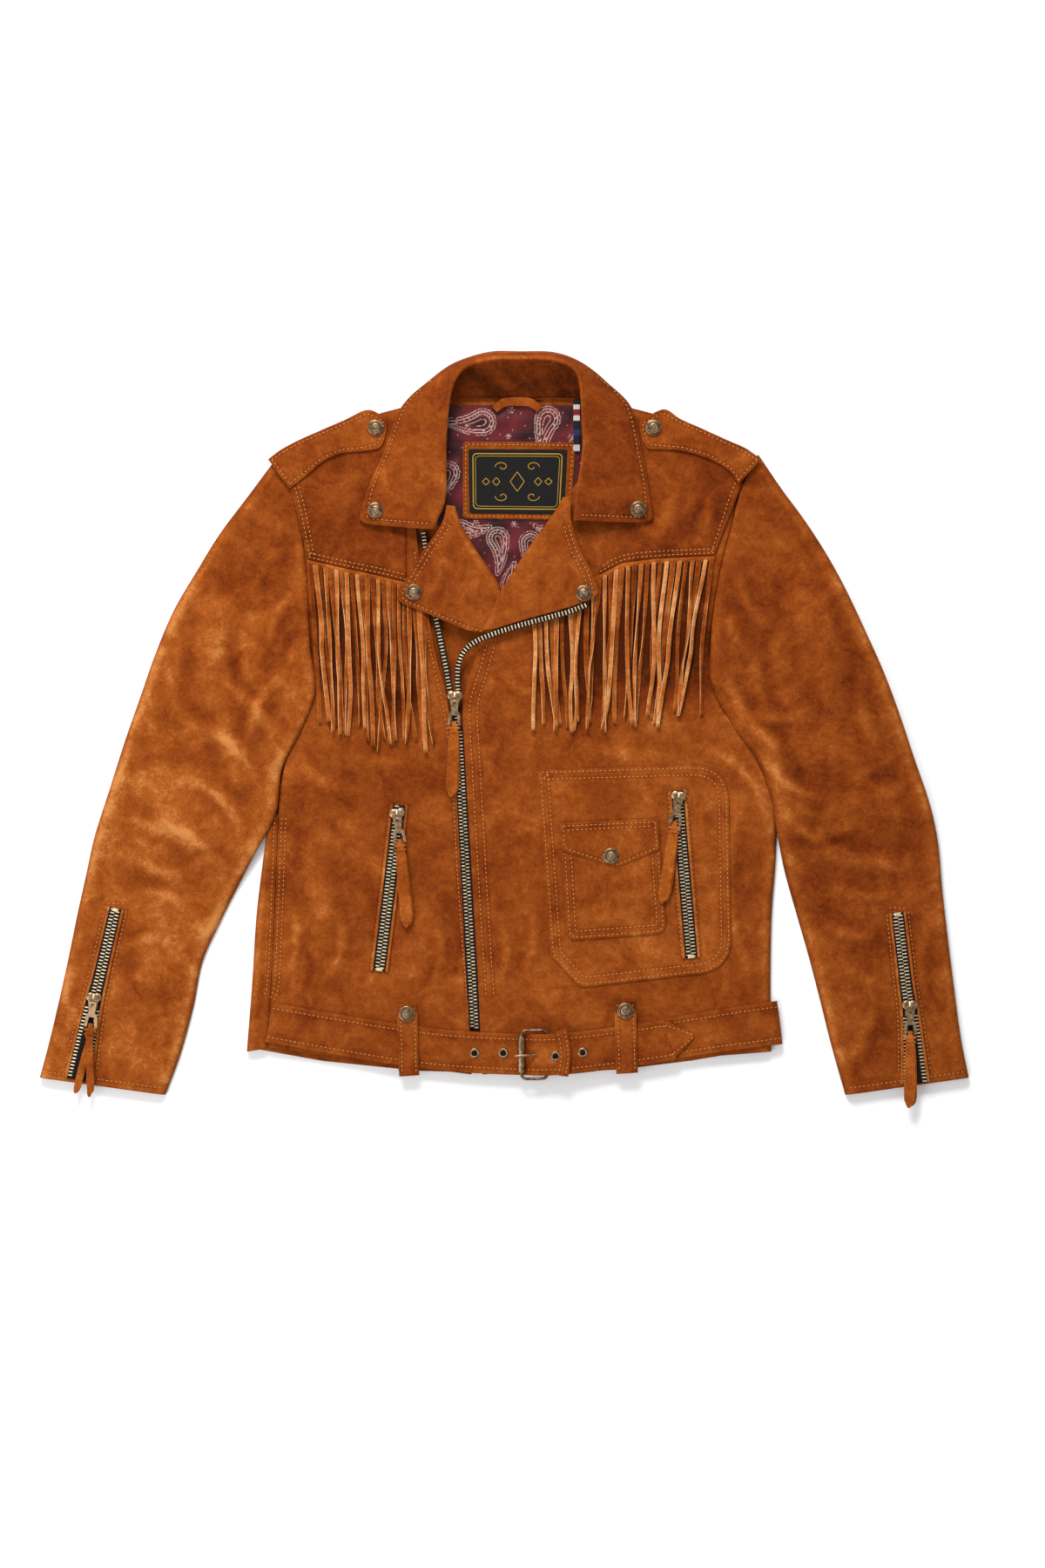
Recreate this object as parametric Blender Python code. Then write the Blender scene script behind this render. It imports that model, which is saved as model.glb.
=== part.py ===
"""Suede riding jacket with a fringed chest yoke, laid flat on its back, belt buckled.

X runs across the jacket, Y from hem to collar and Z up from the surface that it lies on.
Tables are in millimetres. Left and right are as seen from above.
"""

import math
import random
from collections import namedtuple

import bmesh
import bpy
from mathutils import Matrix, Vector

MM = 0.001

# Cloth walls and the air between them
SUEDE = 2.0
THIN_SUEDE = 1.6
LINING = 1.0
GAP = 0.35

# Heights of the layers above the surface
BACK_TOP = SUEDE
LINING_TOP = BACK_TOP + GAP + LINING
FLAP_TOP = LINING_TOP + GAP + 1.5
FRONT_TOP = FLAP_TOP + 0.4 + SUEDE
YOKE_TOP = FRONT_TOP + GAP + THIN_SUEDE
BELT_TOP = FRONT_TOP + 0.4 + SUEDE
SEAM_REST = BACK_TOP + 1.3
ON_BODY = FRONT_TOP + 2.4

# How a folded side rolls over
ROLL_RADIUS = 7.0
ROLL_ANGLES = (0, 30, 60, 90)

SUEDE_COLOUR = (0.46, 0.17, 0.045, 1)
LINING_COLOUR = (0.20, 0.02, 0.03, 1)
BRASS_COLOUR = (0.30, 0.24, 0.15, 1)
TAPE_COLOUR = (0.02, 0.018, 0.015, 1)

Row = namedtuple("Row", "left_x left_y right_x right_y top left_rest right_rest")
Fold = namedtuple("Fold", "x0 y0 x1 y1 height half_width")
Section = namedtuple(
    "Section", "edge_x edge_y edge_z roll_x roll_y roll_z neck_x neck_y neck_z"
)
Step = namedtuple("Step", "x y z width thick")


# Materials and objects

def material(name, colour, roughness, metallic=0.0):
    made = bpy.data.materials.get(name)
    if made is None:
        made = bpy.data.materials.new(name)
        made.use_nodes = True
        shader = made.node_tree.nodes["Principled BSDF"]
        shader.inputs["Base Color"].default_value = colour
        shader.inputs["Roughness"].default_value = roughness
        shader.inputs["Metallic"].default_value = metallic
    return made


def suede():
    return material("suede", SUEDE_COLOUR, 0.95)


def satin():
    return material("lining_satin", LINING_COLOUR, 0.45)


def brass():
    return material("antique_brass", BRASS_COLOUR, 0.35, 1.0)


def tape():
    return material("zip_tape", TAPE_COLOUR, 0.8)


def solid(name, points, faces, finish):
    """One closed object from points in millimetres and the faces between them."""
    mesh = bpy.data.meshes.new(name)
    mesh.from_pydata([Vector(p) * MM for p in points], [], faces)
    work = bmesh.new()
    work.from_mesh(mesh)
    bmesh.ops.recalc_face_normals(work, faces=work.faces)
    work.to_mesh(mesh)
    work.free()
    mesh.materials.append(finish)
    made = bpy.data.objects.new(name, mesh)
    bpy.context.scene.collection.objects.link(made)
    return made


def hang(made, x, y, z):
    """Put the origin of a moving piece on its axis, without moving its faces."""
    origin = Vector((x, y, z)) * MM
    made.data.transform(Matrix.Translation(-origin))
    made.location = origin


# Curves and tables

def between(a, b, c, d, t):
    """The Catmull-Rom curve from b to c."""
    return 0.5 * (
        2 * b + (c - a) * t + (2 * a - 5 * b + 4 * c - d) * t**2 + (3 * b - a - 3 * c + d) * t**3
    )


def smoothed(rows, parts):
    """The rows of a table with parts - 1 more between each two, every column on a smooth curve."""
    made = []
    last = len(rows) - 1
    for i in range(last):
        near = [rows[max(0, i - 1)], rows[i], rows[i + 1], rows[min(last, i + 2)]]
        for k in range(parts):
            made.append(type(rows[0])(*(between(*column, k / parts) for column in zip(*near))))
    made.append(rows[last])
    return made


def rise(folds, x, y):
    """How far the folds lift the cloth at a point of the plan."""
    total = 0.0
    for fold in folds:
        along_x, along_y = fold.x1 - fold.x0, fold.y1 - fold.y0
        length = math.hypot(along_x, along_y)
        share = ((x - fold.x0) * along_x + (y - fold.y0) * along_y) / length**2
        off = abs((x - fold.x0) * along_y - (y - fold.y0) * along_x) / length
        if 0 < share < 1 and off < fold.half_width:
            total += fold.height * math.sin(math.pi * share) * math.cos(
                math.pi / 2 * off / fold.half_width
            ) ** 2
    return total


# Walls of cloth

def normals(grid):
    """The unit normal at each point of a grid, on its upper side."""
    rows, columns = len(grid), len(grid[0])
    made = []
    for i in range(rows):
        made.append([])
        for j in range(columns):
            across = grid[i][min(j + 1, columns - 1)] - grid[i][max(j - 1, 0)]
            along = grid[min(i + 1, rows - 1)][j] - grid[max(i - 1, 0)][j]
            made[-1].append(across.cross(along).normalized())
    side = math.copysign(1, sum(normal.z for row in made for normal in row))
    return [[normal * side for normal in row] for row in made]


def inner_side(grid, thick):
    return [
        [p - normal * thick for p, normal in zip(*pair)] for pair in zip(grid, normals(grid))
    ]


def wall(name, grid, inner, finish):
    """A sheet between two grids of points, its outer and its inner side."""
    rows, columns = len(grid), len(grid[0])
    points = [p for row in grid for p in row] + [p for row in inner for p in row]
    behind = rows * columns

    def at(i, j):
        return i * columns + j

    faces = []
    for i in range(rows - 1):
        for j in range(columns - 1):
            corners = (at(i, j), at(i, j + 1), at(i + 1, j + 1), at(i + 1, j))
            faces.append(corners)
            faces.append(tuple(behind + c for c in reversed(corners)))
    rim = [at(0, j) for j in range(columns)] + [at(i, columns - 1) for i in range(1, rows)]
    rim += [at(rows - 1, j) for j in range(columns - 2, -1, -1)]
    rim += [at(i, 0) for i in range(rows - 2, 0, -1)]
    for a, b in zip(rim, rim[1:] + rim[:1]):
        faces.append((b, a, behind + a, behind + b))
    return solid(name, points, faces, finish)


def row_points(row, inner_columns, folds):
    """One row of a panel, from its left side to its right, with its rolled sides."""
    left = Vector((row.left_x, row.left_y, 0))
    right = Vector((row.right_x, row.right_y, 0))
    width = (right - left).length
    radius = min(ROLL_RADIUS, 0.3 * width)
    places = []
    for angle in ROLL_ANGLES:
        turn = math.radians(angle)
        height = row.left_rest + (row.top - row.left_rest) * math.sin(turn)
        places.append((radius * (1 - math.cos(turn)), height))
    for k in range(1, inner_columns + 1):
        places.append((radius + (width - 2 * radius) * k / (inner_columns + 1), row.top))
    for angle in reversed(ROLL_ANGLES):
        turn = math.radians(angle)
        height = row.right_rest + (row.top - row.right_rest) * math.sin(turn)
        places.append((width - radius * (1 - math.cos(turn)), height))
    made = []
    for distance, height in places:
        p = left.lerp(right, distance / width)
        made.append(Vector((p.x, p.y, height + rise(folds, p.x, p.y))))
    return made


def panel(name, rows, inner_columns, parts=1, folds=(), thick=SUEDE, finish=None):
    grid = [row_points(row, inner_columns, folds) for row in smoothed(rows, parts)]
    return wall(name, grid, inner_side(grid, thick), finish or suede())


def flat_row(left_x, left_y, right_x, right_y, top):
    """A row whose sides don't roll."""
    return Row(left_x, left_y, right_x, right_y, top, top, top)


def plate(name, outline, low, high, finish):
    """A flat piece with the outline given, from low to high."""
    count = len(outline)
    points = [(x, y, low) for x, y in outline] + [(x, y, high) for x, y in outline]
    faces = [tuple(reversed(range(count))), tuple(range(count, 2 * count))]
    for a in range(count):
        b = (a + 1) % count
        faces.append((a, b, count + b, count + a))
    return solid(name, points, faces, finish)


def rounded(corners, radius, parts=3):
    """An outline with round corners. Each corner is (x, y) or (x, y, its own radius)."""
    made = []
    count = len(corners)
    for i, corner in enumerate(corners):
        here = Vector(corner[:2])
        before = Vector(corners[i - 1][:2]) - here
        after = Vector(corners[(i + 1) % count][:2]) - here
        own = corner[2] if len(corner) > 2 else radius
        cut = min(own, 0.45 * before.length, 0.45 * after.length)
        if cut <= 0:
            made.append(tuple(here))
            continue
        start = here + before.normalized() * cut
        end = here + after.normalized() * cut
        for k in range(parts + 1):
            t = k / parts
            made.append(tuple(start * (1 - t) ** 2 + here * 2 * t * (1 - t) + end * t**2))
    return made


def strap(name, steps, finish, parts=1, across=2):
    """A strap along a line of steps: each gives its middle, top height, width and thickness."""
    steps = smoothed(steps, parts)
    top, under = [], []
    for i, step in enumerate(steps):
        before, after = steps[max(0, i - 1)], steps[min(len(steps) - 1, i + 1)]
        ahead = Vector((after.x - before.x, after.y - before.y, 0)).normalized()
        side = Vector((ahead.y, -ahead.x, 0))
        slope = (after.z - before.z) / math.hypot(after.x - before.x, after.y - before.y)
        down = Vector((-ahead.x * slope, -ahead.y * slope, 1)).normalized() * step.thick
        middle = Vector((step.x, step.y, step.z))
        row = [middle + side * step.width * (k / (across - 1) - 0.5) for k in range(across)]
        top.append(row)
        under.append([p - down for p in row])
    points = [p for row in top for p in row] + [p for row in under for p in row]
    behind = len(top) * across
    faces = []
    for i in range(len(top) - 1):
        for k in range(across - 1):
            a = i * across + k
            corners = (a, a + 1, a + across + 1, a + across)
            faces.append(corners)
            faces.append(tuple(behind + c for c in reversed(corners)))
        for a, b in ((i * across, (i + 1) * across), ((i + 2) * across - 1, (i + 1) * across - 1)):
            faces.append((a, b, behind + b, behind + a))
    for start in (0, (len(top) - 1) * across):
        rim = list(range(start, start + across))
        faces.append(tuple(rim) + tuple(behind + c for c in reversed(rim)))
    return solid(name, points, faces, finish)


# Body

ARMHOLE_LEFT = ((-176, 34), (-178, 74), (-180, 114), (-182, 150), (-187, 190), (-192, 222))
ARMHOLE_RIGHT = ((194, 34), (189, 74), (192, 110), (198, 146), (207, 182), (216, 220))
SHOULDER_LEFT = (-204, 246)
SHOULDER_RIGHT = (230, 249)
HEM = ((-234, -293), (-167, -305), (-80, -314), (17, -317), (105, -313), (170, -305), (243, -293))
SIDE_LEFT = ((-210, -40), (-212, -82), (-218, -108), (-222, -146), (-225, -178), (-229, -226))
SIDE_RIGHT = ((243, -236), (243, -172), (247, -114), (246, -64), (228, -14))

FRONT_FOLDS = (
    Fold(-182, -34, -156, -236, 2.6, 20),
    Fold(226, -44, 230, -236, 2.0, 9),
)


def back_panel():
    neck = ((110, 299), (66, 308), (14, 309), (-38, 308), (-89, 299))
    outline = list(HEM) + list(SIDE_RIGHT) + [(x - 1, y) for x, y in ARMHOLE_RIGHT]
    outline += [SHOULDER_RIGHT] + list(neck) + [SHOULDER_LEFT]
    outline += [(x + 1, y) for x, y in reversed(ARMHOLE_LEFT)] + [(-193, 0)] + list(SIDE_LEFT)
    plate("back_panel", outline, 0, BACK_TOP, suede())


def back_lining():
    outline = ((-84, 297), (14, 300), (104, 297), (104, 205), (44, 118), (4, 82), (-44, 118), (-84, 205))
    plate("back_lining", outline, BACK_TOP + GAP, LINING_TOP, satin())


def label_patch():
    plate("label_patch", rounded(((-38, 194), (61, 193), (66, 264), (-38, 265)), 3),
          LINING_TOP + GAP, FLAP_TOP, suede())


def hanger_loop():
    plate("hanger_loop", ((-11, 292), (34, 292), (24, 301.5), (19, 303), (10, 303), (-3, 301.5)),
          LINING_TOP + 1.6, LINING_TOP + 3.2, suede())


def front_left():
    rows = [
        Row(-218, -292, -30, -317, FRONT_TOP, FRONT_TOP, FRONT_TOP),
        Row(-214, -232, -33, -240, FRONT_TOP, FRONT_TOP, FRONT_TOP),
        Row(-211, -170, -37, -170, FRONT_TOP, FRONT_TOP, FRONT_TOP),
        Row(-209, -114, -41, -100, FRONT_TOP, FRONT_TOP, FRONT_TOP),
        Row(-205, -50, -45, -30, FRONT_TOP, FRONT_TOP, FRONT_TOP),
        Row(-194, 0, -53, 30, FRONT_TOP, FRONT_TOP, FRONT_TOP),
    ]
    neck = ((-61, 60), (-68, 95), (-74, 130), (-79, 165), (-83, 205), (-86, 248))
    for (x, y), (inner_x, inner_y) in zip(ARMHOLE_LEFT, neck):
        rows.append(flat_row(x, y, inner_x, inner_y, FRONT_TOP))
    rows.append(flat_row(SHOULDER_LEFT[0] + 3, SHOULDER_LEFT[1] - 6, -90, 286, FRONT_TOP))
    panel("front_left", rows, 5, parts=2, folds=FRONT_FOLDS)


def front_right():
    rows = [
        Row(-20, -317, 246, -296, FRONT_TOP, FRONT_TOP, SEAM_REST),
        Row(-24, -240, 245, -236, FRONT_TOP, FRONT_TOP, SEAM_REST),
        Row(-28, -170, 246, -172, FRONT_TOP, FRONT_TOP, SEAM_REST),
        Row(-32, -100, 250, -114, FRONT_TOP, FRONT_TOP, SEAM_REST),
        Row(-36, -30, 249, -62, FRONT_TOP, FRONT_TOP, SEAM_REST),
        Row(-38, 25, 228, -8, FRONT_TOP, FRONT_TOP, SEAM_REST),
    ]
    roll_line = ((-28, 62), (-16, 98), (-2, 129), (20, 158), (42, 190), (66, 226))
    for (x, y), (inner_x, inner_y) in zip(ARMHOLE_RIGHT, roll_line):
        rows.append(flat_row(inner_x, inner_y, x, y, FRONT_TOP))
    rows.append(flat_row(110, 286, SHOULDER_RIGHT[0] - 3, SHOULDER_RIGHT[1] - 6, FRONT_TOP))
    panel("front_right", rows, 6, parts=2, folds=FRONT_FOLDS)


def side_panel_left():
    rows = [
        Row(-237, -296, -218.5, -293, FRONT_TOP, SEAM_REST, FRONT_TOP),
        Row(-232, -232, -214.5, -232, FRONT_TOP, SEAM_REST, FRONT_TOP),
        Row(-228, -170, -211.5, -170, FRONT_TOP, SEAM_REST, FRONT_TOP),
        Row(-221, -112, -209.5, -114, FRONT_TOP, SEAM_REST, FRONT_TOP),
        Row(-216.5, -80, -208.2, -78, FRONT_TOP, FRONT_TOP, FRONT_TOP),
    ]
    panel("side_panel_left", rows, 1, parts=2)


# Yokes and fringe

YOKE_SEAM_LEFT = ((-181, 157), (-144, 148.5), (-118, 143), (-90, 136), (-72, 127))
YOKE_SEAM_RIGHT = ((194, 160.5), (140, 158), (109, 154), (86, 142), (52, 129), (24, 117))

YOKE_FOLDS = (
    Fold(198, 226, 176, 168, 2.6, 14),
    Fold(170, 222, 134, 168, 2.4, 16),
    Fold(-130, 250, -158, 176, 1.8, 18),
)


def yoke_left():
    """Sections from the armhole to the collar, each from the fringed seam up to the shoulder."""
    rows = [
        Row(-180.5, 157, -203, 248, YOKE_TOP + 0.5, YOKE_TOP + 0.5, YOKE_TOP),
        Row(-163, 153, -180, 263, YOKE_TOP, YOKE_TOP, SEAM_REST),
        Row(-144, 148.5, -152, 276, YOKE_TOP, YOKE_TOP, SEAM_REST),
        Row(-118, 143, -121, 289, YOKE_TOP, YOKE_TOP, SEAM_REST),
        Row(-90, 136, -92, 297, YOKE_TOP, YOKE_TOP, SEAM_REST),
    ]
    panel("yoke_left", rows, 4, parts=2, folds=YOKE_FOLDS, thick=THIN_SUEDE)


def yoke_right():
    rows = [
        Row(87, 143, 113, 297, YOKE_TOP, YOKE_TOP, SEAM_REST),
        Row(109, 154, 143, 289, YOKE_TOP, YOKE_TOP, SEAM_REST),
        Row(140, 158, 177, 276, YOKE_TOP, YOKE_TOP, SEAM_REST),
        Row(168, 159.5, 206, 263, YOKE_TOP, YOKE_TOP, SEAM_REST),
        Row(193, 160.5, 228, 250, YOKE_TOP + 0.5, YOKE_TOP + 0.5, YOKE_TOP),
    ]
    panel("yoke_right", rows, 4, parts=2, folds=YOKE_FOLDS, thick=THIN_SUEDE)


def along(line, share):
    """The point at a share of the length of a line through points."""
    lengths = [math.dist(a, b) for a, b in zip(line, line[1:])]
    left = share * sum(lengths)
    for a, b, length in zip(line, line[1:], lengths):
        if left <= length or b is line[-1]:
            return Vector(a).lerp(Vector(b), left / length)
        left -= length


def fringe(name, seam, count, tips, seed):
    """Cut strands in two layers, hanging from a narrow strip just under the yoke's seam."""
    strip, seam_gap = 3.0, 1.2
    low, high = FRONT_TOP + GAP, FRONT_TOP + GAP + 1.2
    lift, width, joints = 1.6, 3.2, 6
    chance = random.Random(seed)
    points, faces = [], []

    def add(x, y, z):
        points.append((x, y, z))
        return len(points) - 1

    def column(share):
        """The strip's four points at one place along the seam: outer pair, then the side that is cut."""
        p = along(seam, share)
        return (
            add(p.x, p.y - seam_gap, low), add(p.x, p.y - seam_gap, high),
            add(p.x, p.y - seam_gap - strip, high), add(p.x, p.y - seam_gap - strip, low),
        )

    pitch = 1 / count
    length = sum(math.dist(a, b) for a, b in zip(seam, seam[1:]))
    half = width / 2 / length
    first = last = column(0)
    for i in range(count):
        middle = (i + 0.5) * pitch
        near, far = column(middle - half), column(middle + half)
        for a, b in ((last, near), (near, far)):
            faces.append((a[0], b[0], b[1], a[1]))
            faces.append((a[1], b[1], b[2], a[2]))
            faces.append((a[3], b[3], b[0], a[0]))
        faces.append((last[2], near[2], near[3], last[3]))
        root = along(seam, middle) - Vector((0, seam_gap + strip))
        tip = along(tips, middle) + Vector((chance.uniform(-2, 2), chance.uniform(-7, 7)))
        sway, phase = chance.uniform(0.6, 2.2), chance.uniform(0, math.tau)
        turned = 1 if points[far[2]][0] > points[near[2]][0] else -1
        ring = (near[2], far[2], far[3], near[3])
        for k in range(1, joints + 1):
            t = k / joints
            x = root.x + (tip.x - root.x) * t + sway * (math.sin(phase + 5 * t) - math.sin(phase)) * t
            y = root.y + (tip.y - root.y) * t
            z = low + (lift if i % 2 else 0.0) * min(1, 3 * t)
            side = turned * width / 2 * (1 - 0.12 * t)
            new = (
                add(x - side, y, z + high - low), add(x + side, y, z + high - low),
                add(x + side, y, z), add(x - side, y, z),
            )
            for a in range(4):
                b = (a + 1) % 4
                faces.append((ring[a], ring[b], new[b], new[a]))
            ring = new
        faces.append(ring)
        last = far
    end = column(1)
    faces.append((last[0], end[0], end[1], last[1]))
    faces.append((last[1], end[1], end[2], last[2]))
    faces.append((last[3], end[3], end[0], last[0]))
    faces.append((last[2], end[2], end[3], last[3]))
    faces.append(first)
    faces.append(end)
    solid(name, points, faces, suede())


# Sleeves

SLEEVE_TOP = FRONT_TOP + 0.2
OVER_BODY = FRONT_TOP + 5.0

SLEEVE_LEFT = [
    Row(-209, 251, -192.5, 222, SLEEVE_TOP, SEAM_REST, SLEEVE_TOP),
    Row(-235, 216, -187.5, 190, SLEEVE_TOP, SEAM_REST, SLEEVE_TOP),
    Row(-262, 180, -182.5, 150, SLEEVE_TOP, SEAM_REST, SLEEVE_TOP),
    Row(-283, 146, -180.5, 114, SLEEVE_TOP + 1, SEAM_REST, SLEEVE_TOP + 1),
    Row(-304, 110, -178.5, 74, OVER_BODY, SEAM_REST, OVER_BODY - 0.3),
    Row(-321, 70, -173, 36, OVER_BODY, SEAM_REST, ON_BODY),
    Row(-335, 30, -187, -2, OVER_BODY, SEAM_REST, ON_BODY),
    Row(-349, -10, -204, -36, OVER_BODY, SEAM_REST, ON_BODY),
    Row(-363, -54, -210, -78, OVER_BODY, SEAM_REST, ON_BODY),
    Row(-377, -98, -228, -112, OVER_BODY - 1, SEAM_REST, ON_BODY),
    Row(-385, -134, -246, -146, SLEEVE_TOP + 0.3, SEAM_REST, SEAM_REST),
    Row(-393, -170, -262, -178, SLEEVE_TOP, SEAM_REST, SEAM_REST),
    Row(-402, -214, -278, -214, SLEEVE_TOP, SEAM_REST, SEAM_REST),
    Row(-410, -250, -286, -254, SLEEVE_TOP, SEAM_REST, SEAM_REST),
    Row(-419, -288, -298, -298, SLEEVE_TOP, SEAM_REST, SEAM_REST),
    Row(-427.5, -320, -312, -336, SLEEVE_TOP, SEAM_REST, SEAM_REST),
]

SLEEVE_RIGHT = [
    Row(216.5, 220, 234, 253, SLEEVE_TOP, SLEEVE_TOP, SEAM_REST),
    Row(207.5, 182, 255, 222, SLEEVE_TOP, SLEEVE_TOP, SEAM_REST),
    Row(198.5, 146, 277, 192, SLEEVE_TOP, SLEEVE_TOP, SEAM_REST),
    Row(192.5, 110, 297, 161, SLEEVE_TOP + 1, SLEEVE_TOP + 1, SEAM_REST),
    Row(189.5, 74, 314, 130, OVER_BODY, OVER_BODY - 0.3, SEAM_REST),
    Row(191, 38, 332, 92, OVER_BODY, ON_BODY, SEAM_REST),
    Row(211, 2, 349, 54, OVER_BODY, ON_BODY, SEAM_REST),
    Row(231, -27, 364, 14, OVER_BODY, ON_BODY, SEAM_REST),
    Row(244, -60, 378, -28, OVER_BODY, ON_BODY, SEAM_REST),
    Row(250.5, -94, 391, -66, OVER_BODY, ON_BODY, SEAM_REST),
    Row(258, -130, 399, -102, SLEEVE_TOP + 1, SEAM_REST, SEAM_REST),
    Row(268, -166, 403, -146, SLEEVE_TOP, SEAM_REST, SEAM_REST),
    Row(279, -204, 408, -190, SLEEVE_TOP, SEAM_REST, SEAM_REST),
    Row(290, -246, 414, -238, SLEEVE_TOP, SEAM_REST, SEAM_REST),
    Row(301, -290, 420, -282, SLEEVE_TOP, SEAM_REST, SEAM_REST),
    Row(314, -336, 427.5, -320, SLEEVE_TOP, SEAM_REST, SEAM_REST),
]

SLEEVE_FOLDS = (
    Fold(-262, 140, -272, 10, 5.0, 26),
    Fold(-268, 40, -238, -60, 4.0, 22),
    Fold(-330, -60, -250, -140, 3.0, 20),
    Fold(-370, -108, -292, -140, 2.2, 13),
    Fold(228, 20, 272, -90, 5.0, 20),
    Fold(262, 150, 322, -10, 3.5, 28),
    Fold(278, -112, 378, -128, 2.4, 14),
)


def under_outline(rows, outer_first, body_edge):
    """The under sleeve's outline: inside the roll of the upper one, and clear of the back panel."""
    inset = 2.6
    outer, inner = [], []
    for row in smoothed(rows, 2):
        left, right = Vector((row.left_x, row.left_y)), Vector((row.right_x, row.right_y))
        step = (right - left).normalized() * inset
        outer.append(left + step if outer_first else right - step)
        inner.append(right - step if outer_first else left + step)
    for i, p in enumerate(inner):
        limit = body_edge(p.y)
        if limit is not None:
            inner[i] = Vector((min(p.x, limit) if outer_first else max(p.x, limit), p.y))
    return [tuple(p) for p in outer] + [tuple(p) for p in reversed(inner)]


def edge_at(line, y):
    """The x at which a line through points crosses a height y, or None past its ends."""
    for a, b in zip(line, line[1:]):
        if min(a[1], b[1]) <= y <= max(a[1], b[1]):
            return a[0] + (b[0] - a[0]) * (y - a[1]) / (b[1] - a[1])
    return None


def sleeves():
    panel("sleeve_left_upper", SLEEVE_LEFT, 5, parts=2, folds=SLEEVE_FOLDS)
    panel("sleeve_right_upper", SLEEVE_RIGHT, 5, parts=2, folds=SLEEVE_FOLDS)
    clear = 3.4
    left_line = [SHOULDER_LEFT] + list(reversed(ARMHOLE_LEFT)) + [(-193, 0)] + list(SIDE_LEFT)
    right_line = [SHOULDER_RIGHT] + list(reversed(ARMHOLE_RIGHT)) + list(reversed(SIDE_RIGHT))

    def left_edge(y):
        x = edge_at(left_line, y)
        return None if x is None else x - clear

    def right_edge(y):
        x = edge_at(right_line, y)
        return None if x is None else x + clear

    plate("sleeve_left_under", under_outline(SLEEVE_LEFT[1:], True, left_edge), 0, BACK_TOP, suede())
    plate("sleeve_right_under", under_outline(SLEEVE_RIGHT[1:], False, right_edge), 0, BACK_TOP, suede())


# Collar and lapels

COLLAR = [
    Section(-133, 189, 13, -64, 184, 14.5, -70, 186, 8.8),
    Section(-125, 222, 13, -53.5, 214, 17, -60, 216, 9.5),
    Section(-111, 254, 13, -53, 258, 20, -60, 257, 11),
    Section(-95, 296, 12, -51, 296, 23, -56, 290, 12),
    Section(-71, 320, 6, -45, 321, 26, -46, 304, 8),
    Section(-48, 336, 3, -34, 333, 27, -37, 304, 5),
    Section(-16, 346.6, 2.2, -12, 339, 27, -10, 304, 4.5),
    Section(14, 347.6, 2.2, 14, 340, 26, 14, 303, 4.5),
    Section(46, 346.6, 2.2, 42, 339, 27, 40, 304, 4.5),
    Section(74, 336, 3, 61, 333, 27, 64, 304, 5),
    Section(94, 320, 6, 69, 321, 26, 71, 304, 8),
    Section(117, 296, 12, 71, 296, 23, 77, 290, 12),
    Section(127, 254, 13, 72, 258, 20, 79, 257, 11),
    Section(133, 222, 13, 67, 222, 17.5, 74, 222, 10),
    Section(137, 190, 13, 64, 192, 16.5, 71, 193, 9.5),
]

ROLL_LINE_RADIUS = 3.2
COLLAR_WALL = 1.8


def collar_profile(section):
    """The collar from its free edge, over the roll line, and down its stand to the neck seam.

    Gives the outer side and the inner side.
    """
    edge = Vector((section.edge_x, section.edge_y, section.edge_z))
    roll = Vector((section.roll_x, section.roll_y, section.roll_z))
    neck = Vector((section.neck_x, section.neck_y, section.neck_z))
    fall, stand = (edge - roll).normalized(), (neck - roll).normalized()
    out = -(fall + stand).normalized()
    fall_out = (out - fall * out.dot(fall)).normalized()
    stand_out = (out - stand * out.dot(stand)).normalized()
    centre = roll - out * ROLL_LINE_RADIUS
    ways = [fall_out, fall_out.slerp(out, 0.5), out, out.slerp(stand_out, 0.5), stand_out]
    turn = [centre + way * ROLL_LINE_RADIUS for way in ways]
    bow = fall_out * 1.2
    outer = [edge, edge.lerp(turn[0], 0.35) + bow, edge.lerp(turn[0], 0.7) + bow]
    outer += turn + [turn[-1].lerp(neck, 0.5), neck]
    ways = [fall_out] * 3 + ways + [stand_out] * 2
    return outer, [p - way * COLLAR_WALL for p, way in zip(outer, ways)]


def collar():
    sides = [collar_profile(section) for section in smoothed(COLLAR, 2)]
    wall("collar", [outer for outer, inner in sides], [inner for outer, inner in sides], suede())


LAPEL_LOW = FRONT_TOP + GAP + 1.2 + 1.6 + GAP
LAPEL_TOP = LAPEL_LOW + THIN_SUEDE
OVER_LAPEL_TOP = LAPEL_TOP + GAP + 0.8 + THIN_SUEDE


def lapel_left():
    top, rest = LAPEL_TOP, LAPEL_TOP - 3.5
    rows = [
        Row(-53, 206, -45.5, 205, top, top, top),
        Row(-56, 192, -41, 192, top, top, top - 1),
        Row(-63, 180, -33.5, 178, top, top, rest),
        Row(-75, 163, -23, 161, top, top, rest),
        Row(-87, 143, -11, 144, top, top, rest),
        Row(-97, 125, -2, 128, top, top, rest),
        Row(-95, 117, 4, 110, top, top, rest),
        Row(-65, 104, 0, 97, top, top, rest),
        Row(-34, 91, -10, 88, top, top, rest),
    ]
    panel("lapel_left", rows, 3, thick=THIN_SUEDE)


def lapel_right():
    top, rest = OVER_LAPEL_TOP, OVER_LAPEL_TOP - 0.6
    rows = [
        Row(54, 213, 61, 214, top, top, top),
        Row(47, 201, 61, 202, top, top, top),
        Row(38, 188, 62, 189, top, rest, top),
        Row(26, 172, 69, 166, top, rest, top),
        Row(12, 151, 81, 142, top, rest, top),
        Row(-2, 129, 85, 124, top, rest, top),
        Row(-10, 112, 62, 113, top, rest, top),
        Row(-16, 99, 20, 101, top, rest, top),
        Row(-20, 91, -8, 92.4, top, top, top),
    ]
    panel("lapel_right", rows, 3, thick=THIN_SUEDE)


# Epaulettes

def epaulette(name, rows):
    panel(name, rows, 1, thick=SUEDE)


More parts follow.
